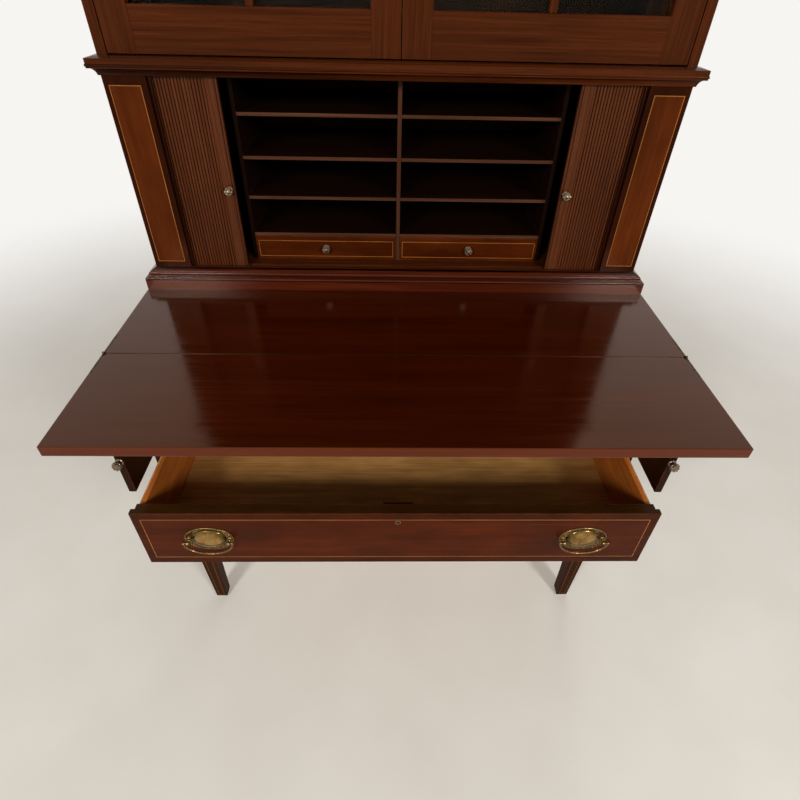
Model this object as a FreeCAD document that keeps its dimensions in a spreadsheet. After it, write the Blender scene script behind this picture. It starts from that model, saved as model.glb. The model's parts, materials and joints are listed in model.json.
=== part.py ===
import FreeCAD, Part

import os
import re

import Sketcher

# Secretary bookcase: a desk on tapered legs with a fold-out leaf, two long drawers and two lopers,
# a row of letter fittings behind tambour doors, and a glazed bookcase.
# Millimetres, +Z up, X along the width, the front towards -Y.
# The origin is on the floor, midway between the leaf's front edge and the back.

# Driving sizes
SIZES = {
    # desk top and leaf
    "top_width": 940,
    "leaf_depth": 210,
    "base_depth": 480,
    "top_thickness": 17,
    "desk_height": 763,
    "leaf_seam": 0.25,
    # strap hinges at the two ends of the leaf
    "hinge_rise": 0.3,
    "strap_length": 50,
    "strap_width": 9,
    "strap_depth": 4,
    "strap_gap": 0.2,
    "eye_radius": 2.5,
    "eye_pin": 1.2,
    "pin_play": 0.05,
    # lower case
    "leg_post": 43,
    "leg_foot": 26,
    "foot_shift": 7,
    "glide_radius": 12.4,
    "glide_height": 4,
    "leg_overhang": 10.5,
    "front_overhang": 13,
    "back_overhang": 6,
    "upper_tier": 133,
    "middle_rail": 29.5,
    "lower_tier": 128.8,
    "bottom_rail": 18.7,
    "rail_depth": 24,
    "panel_thickness": 14,
    "panel_inset": 4,
    "back_panel": 9,
    "dust_board": 10,
    "runner_width": 26,
    "guide_height": 54,
    "partition": 11,
    # lopers
    "loper_thickness": 11,
    "loper_play": 1,
    "loper_rise": 0.4,
    "loper_stop": 18,
    "loper_out": 170,
    # long drawers
    "drawer_lip": 4,
    "drawer_front": 20,
    "lip_gap": 0.3,
    "front_recess": 3,
    "drawer_side": 9,
    "drawer_play": 2.5,
    "drawer_rise": 0.5,
    "drawer_drop": 1.5,
    "side_drop": 7,
    "drawer_bottom": 6,
    "bottom_rise": 7,
    "bottom_groove": 4.5,
    "drawer_stop": 26,
    "lower_drawer_out": 178,
    # plates, posts and bails
    "handle_inset": 112.5,
    "handle_rise": 2,
    "plate_width": 80,
    "plate_height": 57,
    "plate_thickness": 1.6,
    "dome_gap": 2.4,
    "dome_height": 42,
    "dome_rise": 3.8,
    "post_offset": 32.8,
    "post_radius": 2.6,
    "post_head": 3.5,
    "bail_proud": 10,
    "bail_gap": 0.4,
    "bail_drop": 27.5,
    "bail_radius": 1.9,
    "bail_end": 2.6,
    "bail_pin": 1.2,
    "lining_radius": 5,
    "lining_depth": 2,
    "keyhole_radius": 2.4,
    "keyhole_drop": 22,
    "lock_width": 48,
    "lock_height": 30,
    "lock_thickness": 9,
    # knobs
    "knob_flange": 6,
    "knob_flange_rise": 1.6,
    "knob_neck": 3,
    "knob_neck_length": 7,
    "knob_head": 7.2,
    "knob_head_rise": 3.6,
    # upper case
    "upper_side": 15,
    "plinth_gap": 1,
    "plinth_projection": 19,
    "plinth_height": 36.5,
    "plinth_fascia": 18,
    "bead_radius": 2,
    "pilaster_width": 65.5,
    "pilaster_thickness": 6.5,
    "strip_width": 7,
    "strip_depth": 2.5,
    "strip_bead": 1.6,
    "floor_rise": 36.5,
    "floor_thickness": 16,
    "waist_rise": 354,
    "waist_thickness": 18,
    "waist_height": 25,
    "waist_projection": 14,
    "upper_back": 6.5,
    # tambour doors
    "slat_inset": 1.8,
    "slat_thickness": 7,
    "slat_pitch": 5.1375,
    "slat_gap": 0.25,
    "slat_clearance": 0.5,
    "stile_width": 20,
    "stile_proud": 1.5,
    "lead_slats": 24,
    "side_slats": 32,
    "tail_slats": 16,
    "pocket_gap": 4.7,
    "track_depth": 4,
    "track_play": 0.3,
    "tambour_knob_rise": 177,
    # letter fittings
    "fittings_width": 536,
    "fittings_setback": 38.5,
    "wall_setback": 41.5,
    "fittings_wall": 7,
    "divider": 7,
    "letter_shelf": 5.5,
    "small_height": 46.9,
    "letter_rows": 4,
    # small drawers
    "small_play": 0.5,
    "small_front": 11,
    "small_board": 5,
    "small_bottom": 3,
    "small_stop": 4,
    # bookcase
    "bookcase_height": 744,
    "bookcase_top": 18,
    "bookcase_shelf": 16,
    "shelf_setback": 8,
    "shelf_play": 0.3,
    "cleat": 14,
    "door_thickness": 22,
    "door_gap": 2,
    "door_meet": 1.5,
    "door_stile": 44,
    "door_top_rail": 46,
    "door_bottom_rail": 60,
    "glass_thickness": 3,
    "glass_setback": 12,
    "bar_width": 12,
    "bar_setback": 2,
    "door_hinge_height": 50,
    "door_hinge_inset": 90,
    "door_hinge_leaf": 0.85,
    "door_hinge_reach": 20,
    "knuckle_radius": 3,
    "knuckle_clear": 0.3,
    "door_pin": 1.5,
    "knuckle_gap": 0.4,
    "cornice_height": 111,
    "cornice_projection": 28,
    "frieze_height": 56,
    "frieze_thickness": 8,
    "cornice_backing": 56,
}

# Places worked out from the sizes
HALF_TOP = "(top_width / 2)"
HINGE = "((leaf_depth - base_depth) / 2)"
BACK = "((leaf_depth + base_depth) / 2)"
TOP_UNDER = "(desk_height - top_thickness)"
UPPER_LOW = f"({TOP_UNDER} - upper_tier)"
LOWER_HIGH = f"({UPPER_LOW} - middle_rail)"
LOWER_LOW = f"({LOWER_HIGH} - lower_tier)"
CASE_BOTTOM = f"({LOWER_LOW} - bottom_rail)"
CASE_FRONT = f"({HINGE} + front_overhang)"
CASE_BACK = f"({BACK} - back_overhang)"
LEG_OUTER = f"({HALF_TOP} - leg_overhang)"
LEG_INNER = f"({LEG_OUTER} - leg_post)"
RAIL_BACK = f"({CASE_FRONT} + rail_depth)"
PANEL_OUTER = f"({LEG_OUTER} - panel_inset)"
PANEL_INNER = f"({PANEL_OUTER} - panel_thickness)"
BACK_PANEL_FRONT = f"({CASE_BACK} - panel_inset - back_panel)"
LOPER_OUTER = f"({LEG_INNER} - loper_play)"
LOPER_INNER = f"({LOPER_OUTER} - loper_thickness)"
PARTITION_OUTER = f"({LOPER_INNER} - loper_play)"
PARTITION_INNER = f"({PARTITION_OUTER} - partition)"
DRAWER_FACE = f"({HINGE} + front_recess)"
DRAWER_BACK = f"({BACK_PANEL_FRONT} - drawer_stop)"
LIP_THICKNESS = "(front_overhang - front_recess - lip_gap)"
HANDLE_X = f"({LEG_INNER} + drawer_lip - handle_inset)"
BAIL_REACH = "(post_offset + post_head + bail_gap + bail_end)"
DOME_HALF = "(post_offset - post_radius - dome_gap)"

PLINTH_FRONT = f"({HINGE} + leaf_depth + plinth_gap)"
UPPER_FRONT = f"({PLINTH_FRONT} + plinth_projection)"
UPPER_OUTER = f"({HALF_TOP} - plinth_projection)"
UPPER_INNER = f"({UPPER_OUTER} - upper_side)"
PILASTER_INNER = f"({UPPER_OUTER} - pilaster_width)"
CARCASS_FRONT = f"({UPPER_FRONT} + pilaster_thickness)"
BACK_BOARD_FRONT = f"({BACK} - upper_back)"
FLOOR_TOP = "(desk_height + floor_rise)"
WAIST_UNDER = "(desk_height + waist_rise)"
WAIST_TOP = f"({WAIST_UNDER} + waist_thickness)"
BOOKCASE_UNDER = f"({WAIST_TOP} + bookcase_height)"
UPPER_TOP = f"({BOOKCASE_UNDER} + cornice_backing)"

SLAT_FRONT = f"({CARCASS_FRONT} + slat_inset)"
SLAT_BACK = f"({SLAT_FRONT} + slat_thickness)"
REED_RISE = "((slat_pitch - slat_gap) * 0.37)"
SLAT_SHOULDER = f"(slat_thickness - {REED_RISE})"
REED_RADIUS = f"((slat_pitch - slat_gap)^2 / (8 * {REED_RISE}) + {REED_RISE} / 2)"
LEAD_END = f"({UPPER_INNER} - pocket_gap - slat_thickness)"
LEAD_START = f"({LEAD_END} - lead_slats * slat_pitch)"
TAMBOUR_EDGE = f"({LEAD_START} - stile_width)"
SIDE_END = f"({SLAT_BACK} + side_slats * slat_pitch)"

FITTINGS_FRONT = f"({UPPER_FRONT} + fittings_setback)"
FITTINGS_HALF = "(fittings_width / 2)"
WALL_FRONT = f"({UPPER_FRONT} + wall_setback)"
SMALL_HIGH = f"({FLOOR_TOP} + small_height)"
LETTER_PITCH = f"(({WAIST_UNDER} - {SMALL_HIGH}) / letter_rows)"

# Ways to turn a piece that is made along +Z
TO_FRONT = FreeCAD.Rotation(FreeCAD.Vector(1, 0, 0), 90)
TO_RIGHT = FreeCAD.Rotation(FreeCAD.Vector(0, 1, 0), 90)
UPRIGHT = FreeCAD.Rotation()
TO_FLOOR = FreeCAD.Rotation(FreeCAD.Vector(1, 0, 0), -90)

SIDES = {"left": -1, "right": 1}

doc = FreeCAD.newDocument("secretary_bookcase")
sheet = doc.addObject("Spreadsheet::Sheet", "sizes")
for row, (alias, size) in enumerate(SIZES.items(), 1):
    sheet.set(f"A{row}", alias)
    sheet.set(f"B{row}", str(size))
    sheet.setAlias(f"B{row}", alias)
doc.recompute()

nodes = []


def linked(text):
    """The expression with each size's name written as its cell in the sheet."""
    return re.sub(r"[a-z_]+", lambda word: f"sizes.{word[0]}" if word[0] in SIZES else word[0], text)


def value(text):
    """The number that an expression of sizes comes to."""
    return float(sheet.evalExpression(linked(text)))


def bind(item, **expressions):
    """Ties properties of an item to expressions of sizes."""
    for prop, text in expressions.items():
        item.setExpression(prop, linked(text))


def put(item, x, y, z, turn=UPRIGHT):
    """Ties an item's place to three expressions, with a fixed turn."""
    item.Placement = FreeCAD.Placement(FreeCAD.Vector(), turn)
    for axis, text in zip("xyz", (x, y, z)):
        item.setExpression(f"Placement.Base.{axis}", linked(text))
    return item


def node(item, name=None):
    """Marks an item as a finished piece, written to a file of its own."""
    item.Label = name or item.Name
    nodes.append(item)
    return item


def board(name, x, y, z):
    """A box between a low and a high expression along each axis."""
    box = doc.addObject("Part::Box", name)
    spans = [f"({high}) - ({low})" for low, high in (x, y, z)]
    bind(box, Length=spans[0], Width=spans[1], Height=spans[2])
    return put(box, x[0], y[0], z[0])


def mirrored(side, low, high):
    """A span along X, given for the right side, on the named side."""
    if SIDES[side] > 0:
        return low, high
    return f"-({high})", f"-({low})"


def signed(side, text):
    """A place along X, given for the right side, on the named side."""
    return text if SIDES[side] > 0 else f"-({text})"


def pair(name, x, y, z):
    """Two boxes, one on each side of the middle."""
    return [board(f"{name}_{side}", mirrored(side, *x), y, z) for side in SIDES]


def rod(name, radius, length, x, y, z, turn=UPRIGHT):
    """A cylinder from a place, along the turned +Z."""
    cylinder = doc.addObject("Part::Cylinder", name)
    bind(cylinder, Radius=radius, Height=length)
    return put(cylinder, x, y, z, turn)


def ball(name, radius, x, y, z):
    """A sphere about a place."""
    sphere = doc.addObject("Part::Sphere", name)
    bind(sphere, Radius=radius)
    return put(sphere, x, y, z)


def fused(name, items):
    """One solid made of several."""
    fuse = doc.addObject("Part::MultiFuse", name)
    fuse.Shapes = items
    fuse.Refine = True
    return fuse


def cut(name, base, tool):
    """A solid with a tool taken out of it."""
    result = doc.addObject("Part::Cut", name)
    result.Base = base
    result.Tool = tool
    return result


def group(name, items):
    """Several solids kept apart in one piece."""
    compound = doc.addObject("Part::Compound", name)
    compound.Links = items
    return compound


# Legs and lower case


def leg(name, side, x, y):
    """A square post and, below the case, a taper to a foot that is set towards the middle."""
    half = "leg_post / 2"
    post = board(
        f"{name}_post",
        (f"{x} - {half}", f"{x} + {half}"),
        (f"{y} - {half}", f"{y} + {half}"),
        (CASE_BOTTOM, TOP_UNDER),
    )
    taper = doc.addObject("Part::Wedge", f"{name}_taper")
    bind(taper, Xmin=f"-{half}", Xmax=half, Zmin=f"-{half}", Zmax=half)
    foot = "leg_foot / 2"
    foot_x = mirrored(side, f"-foot_shift - {foot}", f"-foot_shift + {foot}")
    bind(taper, X2min=foot_x[0], X2max=foot_x[1], Z2min=f"-{foot}", Z2max=foot)
    bind(taper, Ymin="0", Ymax=f"{CASE_BOTTOM} - glide_height")
    put(taper, x, y, CASE_BOTTOM, TO_FLOOR)
    return fused(name, [post, taper])


def lower_case():
    """Legs, panels, rails, runners and partitions under the desk top."""
    leg_x = f"({LEG_OUTER} - leg_post / 2)"
    rows = {"front": f"({CASE_FRONT} + leg_post / 2)", "back": f"({CASE_BACK} - leg_post / 2)"}
    glides = []
    for row_name, leg_y in rows.items():
        legs = [leg(f"{row_name}_leg_{side}", side, signed(side, leg_x), leg_y) for side in SIDES]
        node(group(f"{row_name}_legs", legs))
        for side in SIDES:
            glide = f"glide_{row_name}_{side}"
            foot_x = signed(side, f"{leg_x} - foot_shift")
            glides.append(rod(glide, "glide_radius", "glide_height", foot_x, leg_y, "0"))
    node(group("foot_glides", glides))

    between_legs = (f"{CASE_FRONT} + leg_post", f"{CASE_BACK} - leg_post")
    tall = (CASE_BOTTOM, TOP_UNDER)
    panels = pair("case_side", (PANEL_INNER, PANEL_OUTER), between_legs, tall)
    node(group("case_side_panels", panels))
    across = (f"-{LEG_INNER}", LEG_INNER)
    back_y = (BACK_PANEL_FRONT, f"{BACK_PANEL_FRONT} + back_panel")
    node(board("case_back_panel", across, back_y, tall))

    rail = (CASE_FRONT, RAIL_BACK)
    middle_rail = board("middle_rail", across, rail, (LOWER_HIGH, UPPER_LOW))
    bottom_rail = board("bottom_rail", across, rail, (CASE_BOTTOM, LOWER_LOW))
    node(group("front_rails", [middle_rail, bottom_rail]))

    inside = (RAIL_BACK, BACK_PANEL_FRONT)
    dust_low = f"({UPPER_LOW} - dust_board)"
    node(board("dust_board", across, inside, (dust_low, UPPER_LOW)))
    runner_x = (f"{LEG_INNER} - runner_width", LEG_INNER)
    runners = pair("runner", runner_x, inside, (CASE_BOTTOM, LOWER_LOW))
    guide_x = (LEG_INNER, PANEL_INNER)
    lower_z = (CASE_BOTTOM, f"{CASE_BOTTOM} + guide_height")
    lower_guides = pair("lower_guide", guide_x, between_legs, lower_z)
    upper_z = (dust_low, f"{dust_low} + guide_height")
    upper_guides = pair("upper_guide", guide_x, between_legs, upper_z)
    node(group("drawer_runners", runners + lower_guides + upper_guides))

    walls = pair(
        "loper_wall",
        (PARTITION_INNER, PARTITION_OUTER),
        (CASE_FRONT, BACK_PANEL_FRONT),
        (UPPER_LOW, TOP_UNDER),
    )
    node(group("loper_partitions", walls))


# Desk top, leaf and their strap hinges


def strap(name, side, y, neck_y, eye_x, strap_x):
    """One half of a strap hinge: a strap let into the end, a neck and an eye on the hinge line."""
    low = "desk_height - strap_gap - strap_width"
    high = "desk_height - strap_gap"
    plate = board(f"{name}_plate", mirrored(side, *strap_x), y, (low, high))
    neck_z = (f"{high} - eye_radius * 0.7", high)
    neck = board(f"{name}_neck", mirrored(side, *eye_x), neck_y, neck_z)
    width = f"({eye_x[1]}) - ({eye_x[0]})"
    at = mirrored(side, *eye_x)[0]
    eye = rod(f"{name}_eye", "eye_radius", width, at, HINGE, "desk_height + hinge_rise", TO_RIGHT)
    return [plate, neck, eye]


def desk_top():
    """The fixed top, the leaf that folds over it and the straps at their ends."""
    across = (f"-{HALF_TOP}", HALF_TOP)
    slab = (TOP_UNDER, "desk_height")
    tops = {
        "fixed_top": (f"{HINGE} + leaf_seam", BACK),
        "writing_leaf": (f"{HINGE} - leaf_depth", f"{HINGE} - leaf_seam"),
    }
    pocket_y = (f"{HINGE} - strap_length - strap_gap", f"{HINGE} + strap_length + strap_gap")
    pocket_z = ("desk_height - 2 * strap_gap - strap_width", "desk_height + strap_width")
    for name, y in tops.items():
        slab_board = board(f"{name}_board", across, y, slab)
        pockets = pair(f"{name}_pocket", (f"{HALF_TOP} - strap_depth", HALF_TOP), pocket_y, pocket_z)
        node(cut(name, slab_board, group(f"{name}_pockets", pockets)))

    strap_x = (f"{HALF_TOP} - strap_depth + strap_gap", f"{HALF_TOP} - strap_gap")
    middle = f"{HALF_TOP} - strap_depth / 2"
    inner_eye = (strap_x[0], f"{middle} - strap_gap")
    outer_eye = (f"{middle} + strap_gap", strap_x[1])
    clear = "eye_radius + 2 * strap_gap"
    fixed, moving = [], []
    for side in SIDES:
        start = mirrored(side, *strap_x)[0]
        length = f"({strap_x[1]}) - ({strap_x[0]})"
        axis_z = "desk_height + hinge_rise"
        halves = strap(
            f"fixed_strap_{side}",
            side,
            (f"{HINGE} + {clear}", f"{HINGE} + strap_length"),
            (HINGE, f"{HINGE} + {clear}"),
            inner_eye,
            strap_x,
        )
        pin = rod(f"strap_pin_{side}", "eye_pin", length, start, HINGE, axis_z, TO_RIGHT)
        fixed.append(fused(f"fixed_strap_{side}", halves + [pin]))
        halves = strap(
            f"leaf_strap_{side}",
            side,
            (f"{HINGE} - strap_length", f"{HINGE} - ({clear})"),
            (f"{HINGE} - ({clear})", HINGE),
            outer_eye,
            strap_x,
        )
        hole = rod(f"strap_hole_{side}", "eye_pin + pin_play", length, start, HINGE, axis_z, TO_RIGHT)
        moving.append(cut(f"leaf_strap_{side}", fused(f"leaf_strap_whole_{side}", halves), hole))
    node(group("leaf_straps_fixed", fixed))
    node(group("leaf_straps_moving", moving))


# Knobs, plates and bails


def knob(name, x, y, z):
    """A turned knob that stands on a face and points to the front."""
    flange = rod(f"{name}_flange", "knob_flange", "knob_flange_rise", x, y, z, TO_FRONT)
    length = "knob_flange_rise + knob_neck_length"
    neck = rod(f"{name}_neck", "knob_neck", length, x, y, z, TO_FRONT)
    head = doc.addObject("Part::Ellipsoid", f"{name}_head")
    bind(head, Radius1="knob_head_rise", Radius2="knob_head", Radius3="knob_head")
    put(head, x, f"{y} - ({length})", z, TO_FRONT)
    return fused(name, [flange, neck, head])


def plate(name, x, y, z):
    """An oval plate with a low dome, flat on a drawer front."""
    outline = doc.addObject("Part::Ellipse", f"{name}_outline")
    bind(outline, MajorRadius="plate_width / 2", MinorRadius="plate_height / 2")
    put(outline, x, y, z, TO_FRONT)
    sheet_metal = doc.addObject("Part::Extrusion", f"{name}_sheet")
    sheet_metal.Base = outline
    sheet_metal.DirMode = "Custom"
    sheet_metal.Dir = FreeCAD.Vector(0, -1, 0)
    sheet_metal.Solid = True
    bind(sheet_metal, LengthFwd="plate_thickness")
    dome = doc.addObject("Part::Ellipsoid", f"{name}_dome")
    bind(dome, Radius1="dome_rise", Radius2=DOME_HALF, Radius3="dome_height / 2")
    dome.Angle1 = 0
    put(dome, x, f"{y} - plate_thickness", z, TO_FRONT)
    return fused(name, [sheet_metal, dome])


def post(name, x, y, z):
    """A post with a round head, drilled across for the bail's pin."""
    length = "bail_proud - plate_thickness"
    stem = rod(f"{name}_stem", "post_radius", length, x, f"{y} - plate_thickness", z, TO_FRONT)
    head = ball(f"{name}_head", "post_head", x, f"{y} - bail_proud", z)
    whole = fused(f"{name}_whole", [stem, head])
    start = f"{x} - 2 * post_head"
    depth = f"{y} - bail_proud"
    hole = rod(f"{name}_hole", "bail_pin + pin_play", "4 * post_head", start, depth, z, TO_RIGHT)
    return cut(name, whole, hole)


def bail(name, x, y, z):
    """A half-oval handle with a round end and a pin at each side, hung from its posts."""
    path = doc.addObject("Part::Ellipse", f"{name}_path")
    bind(path, MajorRadius=BAIL_REACH, MinorRadius="bail_drop")
    path.Angle1 = 180
    path.Angle2 = 360
    put(path, x, y, z, TO_FRONT)
    section = doc.addObject("Part::Circle", f"{name}_section")
    bind(section, Radius="bail_radius")
    put(section, f"{x} - {BAIL_REACH}", y, z)
    wire = doc.addObject("Part::Sweep", f"{name}_wire")
    wire.Sections = [section]
    wire.Spine = (path, ["Edge1"])
    wire.Solid = True
    pieces = [wire]
    length = f"({BAIL_REACH} - post_offset + post_head / 2)"
    starts = {"left": f"{x} - {BAIL_REACH}", "right": f"{x} + {BAIL_REACH} - {length}"}
    for side in SIDES:
        end_x = f"{x} + {SIDES[side]} * {BAIL_REACH}"
        pieces.append(ball(f"{name}_end_{side}", "bail_end", end_x, y, z))
        pieces.append(rod(f"{name}_pin_{side}", "bail_pin", length, starts[side], y, z, TO_RIGHT))
    return fused(name, pieces)


# Long drawers


def long_drawer(name, half_opening, bottom, top, half_box, out):
    """A drawer with a lipped front, a grooved box, plates, posts, bails, a keyhole lining and a lock."""
    face = f"({DRAWER_FACE} - {out})"
    lip_back = f"({face} + {LIP_THICKNESS})"
    front_back = f"({face} + drawer_front)"
    lip_x = f"{half_opening} + drawer_lip"
    front_low = f"{bottom} + drawer_rise"
    front_high = f"({top} - drawer_drop)"
    side_high = f"({front_high} - side_drop)"
    lip_z = (f"{bottom} - drawer_lip", front_high)
    lip = board(f"{name}_lip", (f"-({lip_x})", lip_x), (face, lip_back), lip_z)
    box_x = (f"-{half_box}", half_box)
    body = board(f"{name}_body", box_x, (lip_back, front_back), (front_low, front_high))
    whole = fused(f"{name}_front_whole", [lip, body])
    key_z = f"({front_high} - keyhole_drop)"
    lining_y = f"({face} + lining_depth)"
    seat_radius = "lining_radius + pin_play"
    seat = rod(f"{name}_lining_seat", seat_radius, "lining_depth", "0", lining_y, key_z, TO_FRONT)
    bore = rod(f"{name}_keyhole", "keyhole_radius", "drawer_front", "0", front_back, key_z, TO_FRONT)
    floor_low = f"({front_low} + bottom_rise)"
    floor_high = f"({floor_low} + drawer_bottom)"
    side_inner = f"({half_box} - drawer_side)"
    floor_x = f"{side_inner} + bottom_groove"
    box_back = f"({DRAWER_BACK} - {out})"
    groove = board(
        f"{name}_groove",
        (f"-({floor_x})", floor_x),
        (f"{front_back} - bottom_groove", box_back),
        (floor_low, floor_high),
    )
    openings = group(f"{name}_front_cuts", [seat, bore, groove])
    node(cut(f"{name}_front", whole, openings))

    sides = []
    for side in SIDES:
        plank = board(
            f"{name}_plank_{side}",
            mirrored(side, side_inner, half_box),
            (front_back, box_back),
            (front_low, side_high),
        )
        sides.append(cut(f"{name}_side_{side}", plank, groove))
    back = board(
        f"{name}_back",
        (f"-{side_inner}", side_inner),
        (f"{box_back} - drawer_side", box_back),
        (floor_high, f"{side_high} - drawer_drop"),
    )
    floor = board(
        f"{name}_floor",
        (f"-({floor_x})", floor_x),
        (f"{front_back} - bottom_groove", box_back),
        (floor_low, floor_high),
    )
    node(group(f"{name}_box", sides + [back, floor]))

    middle = f"(({bottom} - drawer_lip + {front_high}) / 2 + handle_rise)"
    brasses = []
    for side in SIDES:
        x = signed(side, HANDLE_X)
        brasses.append(plate(f"{name}_plate_{side}", x, face, middle))
        for end in SIDES:
            post_x = f"{x} + {SIDES[end]} * post_offset"
            brasses.append(post(f"{name}_post_{side}_{end}", post_x, face, middle))
    disc = rod(f"{name}_lining_disc", "lining_radius", "lining_depth", "0", lining_y, key_z, TO_FRONT)
    brasses.append(cut(f"{name}_lining", disc, bore))
    lock_z = f"({key_z} - lock_height / 2)"
    brasses.append(
        board(
            f"{name}_lock",
            ("-lock_width / 2", "lock_width / 2"),
            (front_back, f"{front_back} + lock_thickness"),
            (lock_z, f"{lock_z} + lock_height"),
        )
    )
    node(group(f"{name}_brasses", brasses))
    for side in SIDES:
        node(bail(f"{name}_bail_{side}", signed(side, HANDLE_X), f"{face} - bail_proud", middle))


def drawers_and_lopers():
    """The two long drawers and the two lopers."""
    upper_box = f"({PARTITION_INNER} - loper_play)"
    long_drawer("upper_drawer", PARTITION_INNER, UPPER_LOW, TOP_UNDER, upper_box, "0")
    lower_box = f"({LEG_INNER} - drawer_play)"
    long_drawer("lower_drawer", LEG_INNER, LOWER_LOW, LOWER_HIGH, lower_box, "lower_drawer_out")
    front = f"({CASE_FRONT} - loper_out)"
    back = f"({BACK_PANEL_FRONT} - loper_stop - loper_out)"
    low = f"({UPPER_LOW} + loper_rise)"
    high = f"({TOP_UNDER} - loper_rise)"
    for side in SIDES:
        span = mirrored(side, LOPER_INNER, LOPER_OUTER)
        node(board(f"loper_{side}", span, (front, back), (low, high)))
        x = signed(side, f"({LOPER_OUTER} - loper_thickness / 2)")
        node(knob(f"loper_knob_{side}", x, front, f"(({low} + {high}) / 2)"))


# Mouldings


def corner_wire(outline, x, y, base, slope):
    """An outline of (projection, height) points stood up at a corner of the case.

    Args:
        outline: the start point, then ("line", end) or ("arc", middle, end) steps back to the start.
        x, y: the case's corner, or the end of a return.
        base: height of the outline's zero.
        slope: how far X and Y move for each millimetre of projection.
    """

    def stood(point):
        return FreeCAD.Vector(x + slope[0] * point[0], y + slope[1] * point[0], base + point[1])

    here = outline[0]
    edges = []
    for kind, *points in outline[1:]:
        if kind == "arc":
            edges.append(Part.Arc(stood(here), stood(points[0]), stood(points[1])).toShape())
        else:
            edges.append(Part.LineSegment(stood(here), stood(points[0])).toShape())
        here = points[-1]
    return Part.Wire(edges)


def moulding(name, outline, corner_x, corner_y, base):
    """A moulding round the front and the two sides of the case, mitred at the front corners."""
    back = value(BACK)
    left = corner_wire(outline, -corner_x, corner_y, base, (-1, -1))
    right = corner_wire(outline, corner_x, corner_y, base, (1, -1))
    ends = {
        "front": (left, right),
        "left": (left, corner_wire(outline, -corner_x, back, base, (-1, 0))),
        "right": (right, corner_wire(outline, corner_x, back, base, (1, 0))),
    }
    lengths = []
    for where, wires in ends.items():
        length = doc.addObject("Part::Feature", f"{name}_{where}")
        length.Shape = Part.makeLoft(list(wires), True, True)
        lengths.append(length)
    return node(group(name, lengths))


def mouldings():
    """The plinth, the waist moulding and the cornice."""
    corner_x = value(UPPER_OUTER)
    front = value(UPPER_FRONT)

    reach = value("plinth_projection")
    tall = value("plinth_height")
    fascia = value("plinth_fascia")
    bead = value("bead_radius")
    bulge = bead * 0.6
    ledge = reach - 2.25 * bead
    torus = reach - 4.25 * bead
    fillet = reach - 5.5 * bead
    plinth = [
        (0, 0),
        ("line", (reach, 0)),
        ("line", (reach, fascia)),
        ("line", (reach - bulge, fascia)),
        ("arc", (reach, fascia + bead), (reach - bulge, fascia + 2 * bead)),
        ("line", (ledge, fascia + 2 * bead)),
        ("line", (ledge, fascia + 2.7 * bead)),
        ("line", (torus, fascia + 2.7 * bead)),
        ("line", (torus, fascia + 3.3 * bead)),
        ("arc", (torus + bead, fascia + 4.8 * bead), (torus, fascia + 6.3 * bead)),
        ("line", (fillet, fascia + 6.3 * bead)),
        ("line", (fillet, fascia + 7.3 * bead)),
        ("line", (bead / 2, tall)),
        ("line", (0, tall)),
        ("line", (0, 0)),
    ]
    moulding("plinth_moulding", plinth, corner_x, front, value("desk_height"))

    reach = value("waist_projection")
    tall = value("waist_height")
    start = reach * 0.2
    neck = reach - bulge
    cove = neck - start
    waist = [
        (0, 0),
        ("line", (start, 0)),
        ("arc", (start + 0.29 * cove, 0.71 * cove), (neck, cove)),
        ("line", (neck, cove + bead)),
        ("arc", (reach, cove + 2 * bead), (neck, cove + 3 * bead)),
        ("line", (neck, tall - bead)),
        ("line", (bead, tall)),
        ("line", (0, tall)),
        ("line", (0, 0)),
    ]
    moulding("waist_moulding", waist, corner_x, front, value(f"{WAIST_TOP} - waist_height"))

    reach = value("cornice_projection")
    tall = value("cornice_height")
    frieze = value("frieze_height")
    face = value("frieze_thickness")
    crown = tall - 4 * bead
    cove = min(reach - face - 2 * bead, crown - frieze - 6 * bead)
    foot = crown - 2 * bead - cove
    cornice = [
        (0, 0),
        ("line", (face, 0)),
        ("line", (face, frieze)),
        ("arc", (face + bulge, frieze + bead), (face, frieze + 2 * bead)),
        ("line", (face, foot)),
        ("arc", (face + 0.29 * cove, foot + 0.71 * cove), (face + cove, foot + cove)),
        ("line", (reach, crown - 2 * bead)),
        ("line", (reach, tall)),
        ("line", (0, tall)),
        ("line", (0, 0)),
    ]
    moulding("cornice", cornice, corner_x, value(CARCASS_FRONT), value(BOOKCASE_UNDER))


# Upper case


def tracked_board(name, low, high, track):
    """A board between the sides, with a front strip between the pilasters and a tambour track."""
    across = (f"-{UPPER_INNER}", UPPER_INNER)
    main = board(f"{name}_main", across, (CARCASS_FRONT, BACK_BOARD_FRONT), (low, high))
    strip_x = (f"-{PILASTER_INNER}", PILASTER_INNER)
    strip = board(f"{name}_strip", strip_x, (UPPER_FRONT, CARCASS_FRONT), (low, high))
    track_y = (f"{SLAT_FRONT} - track_play", f"{SLAT_BACK} + track_play")
    groove = board(f"{name}_track", across, track_y, track)
    node(cut(name, fused(f"{name}_whole", [main, strip]), groove))


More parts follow.
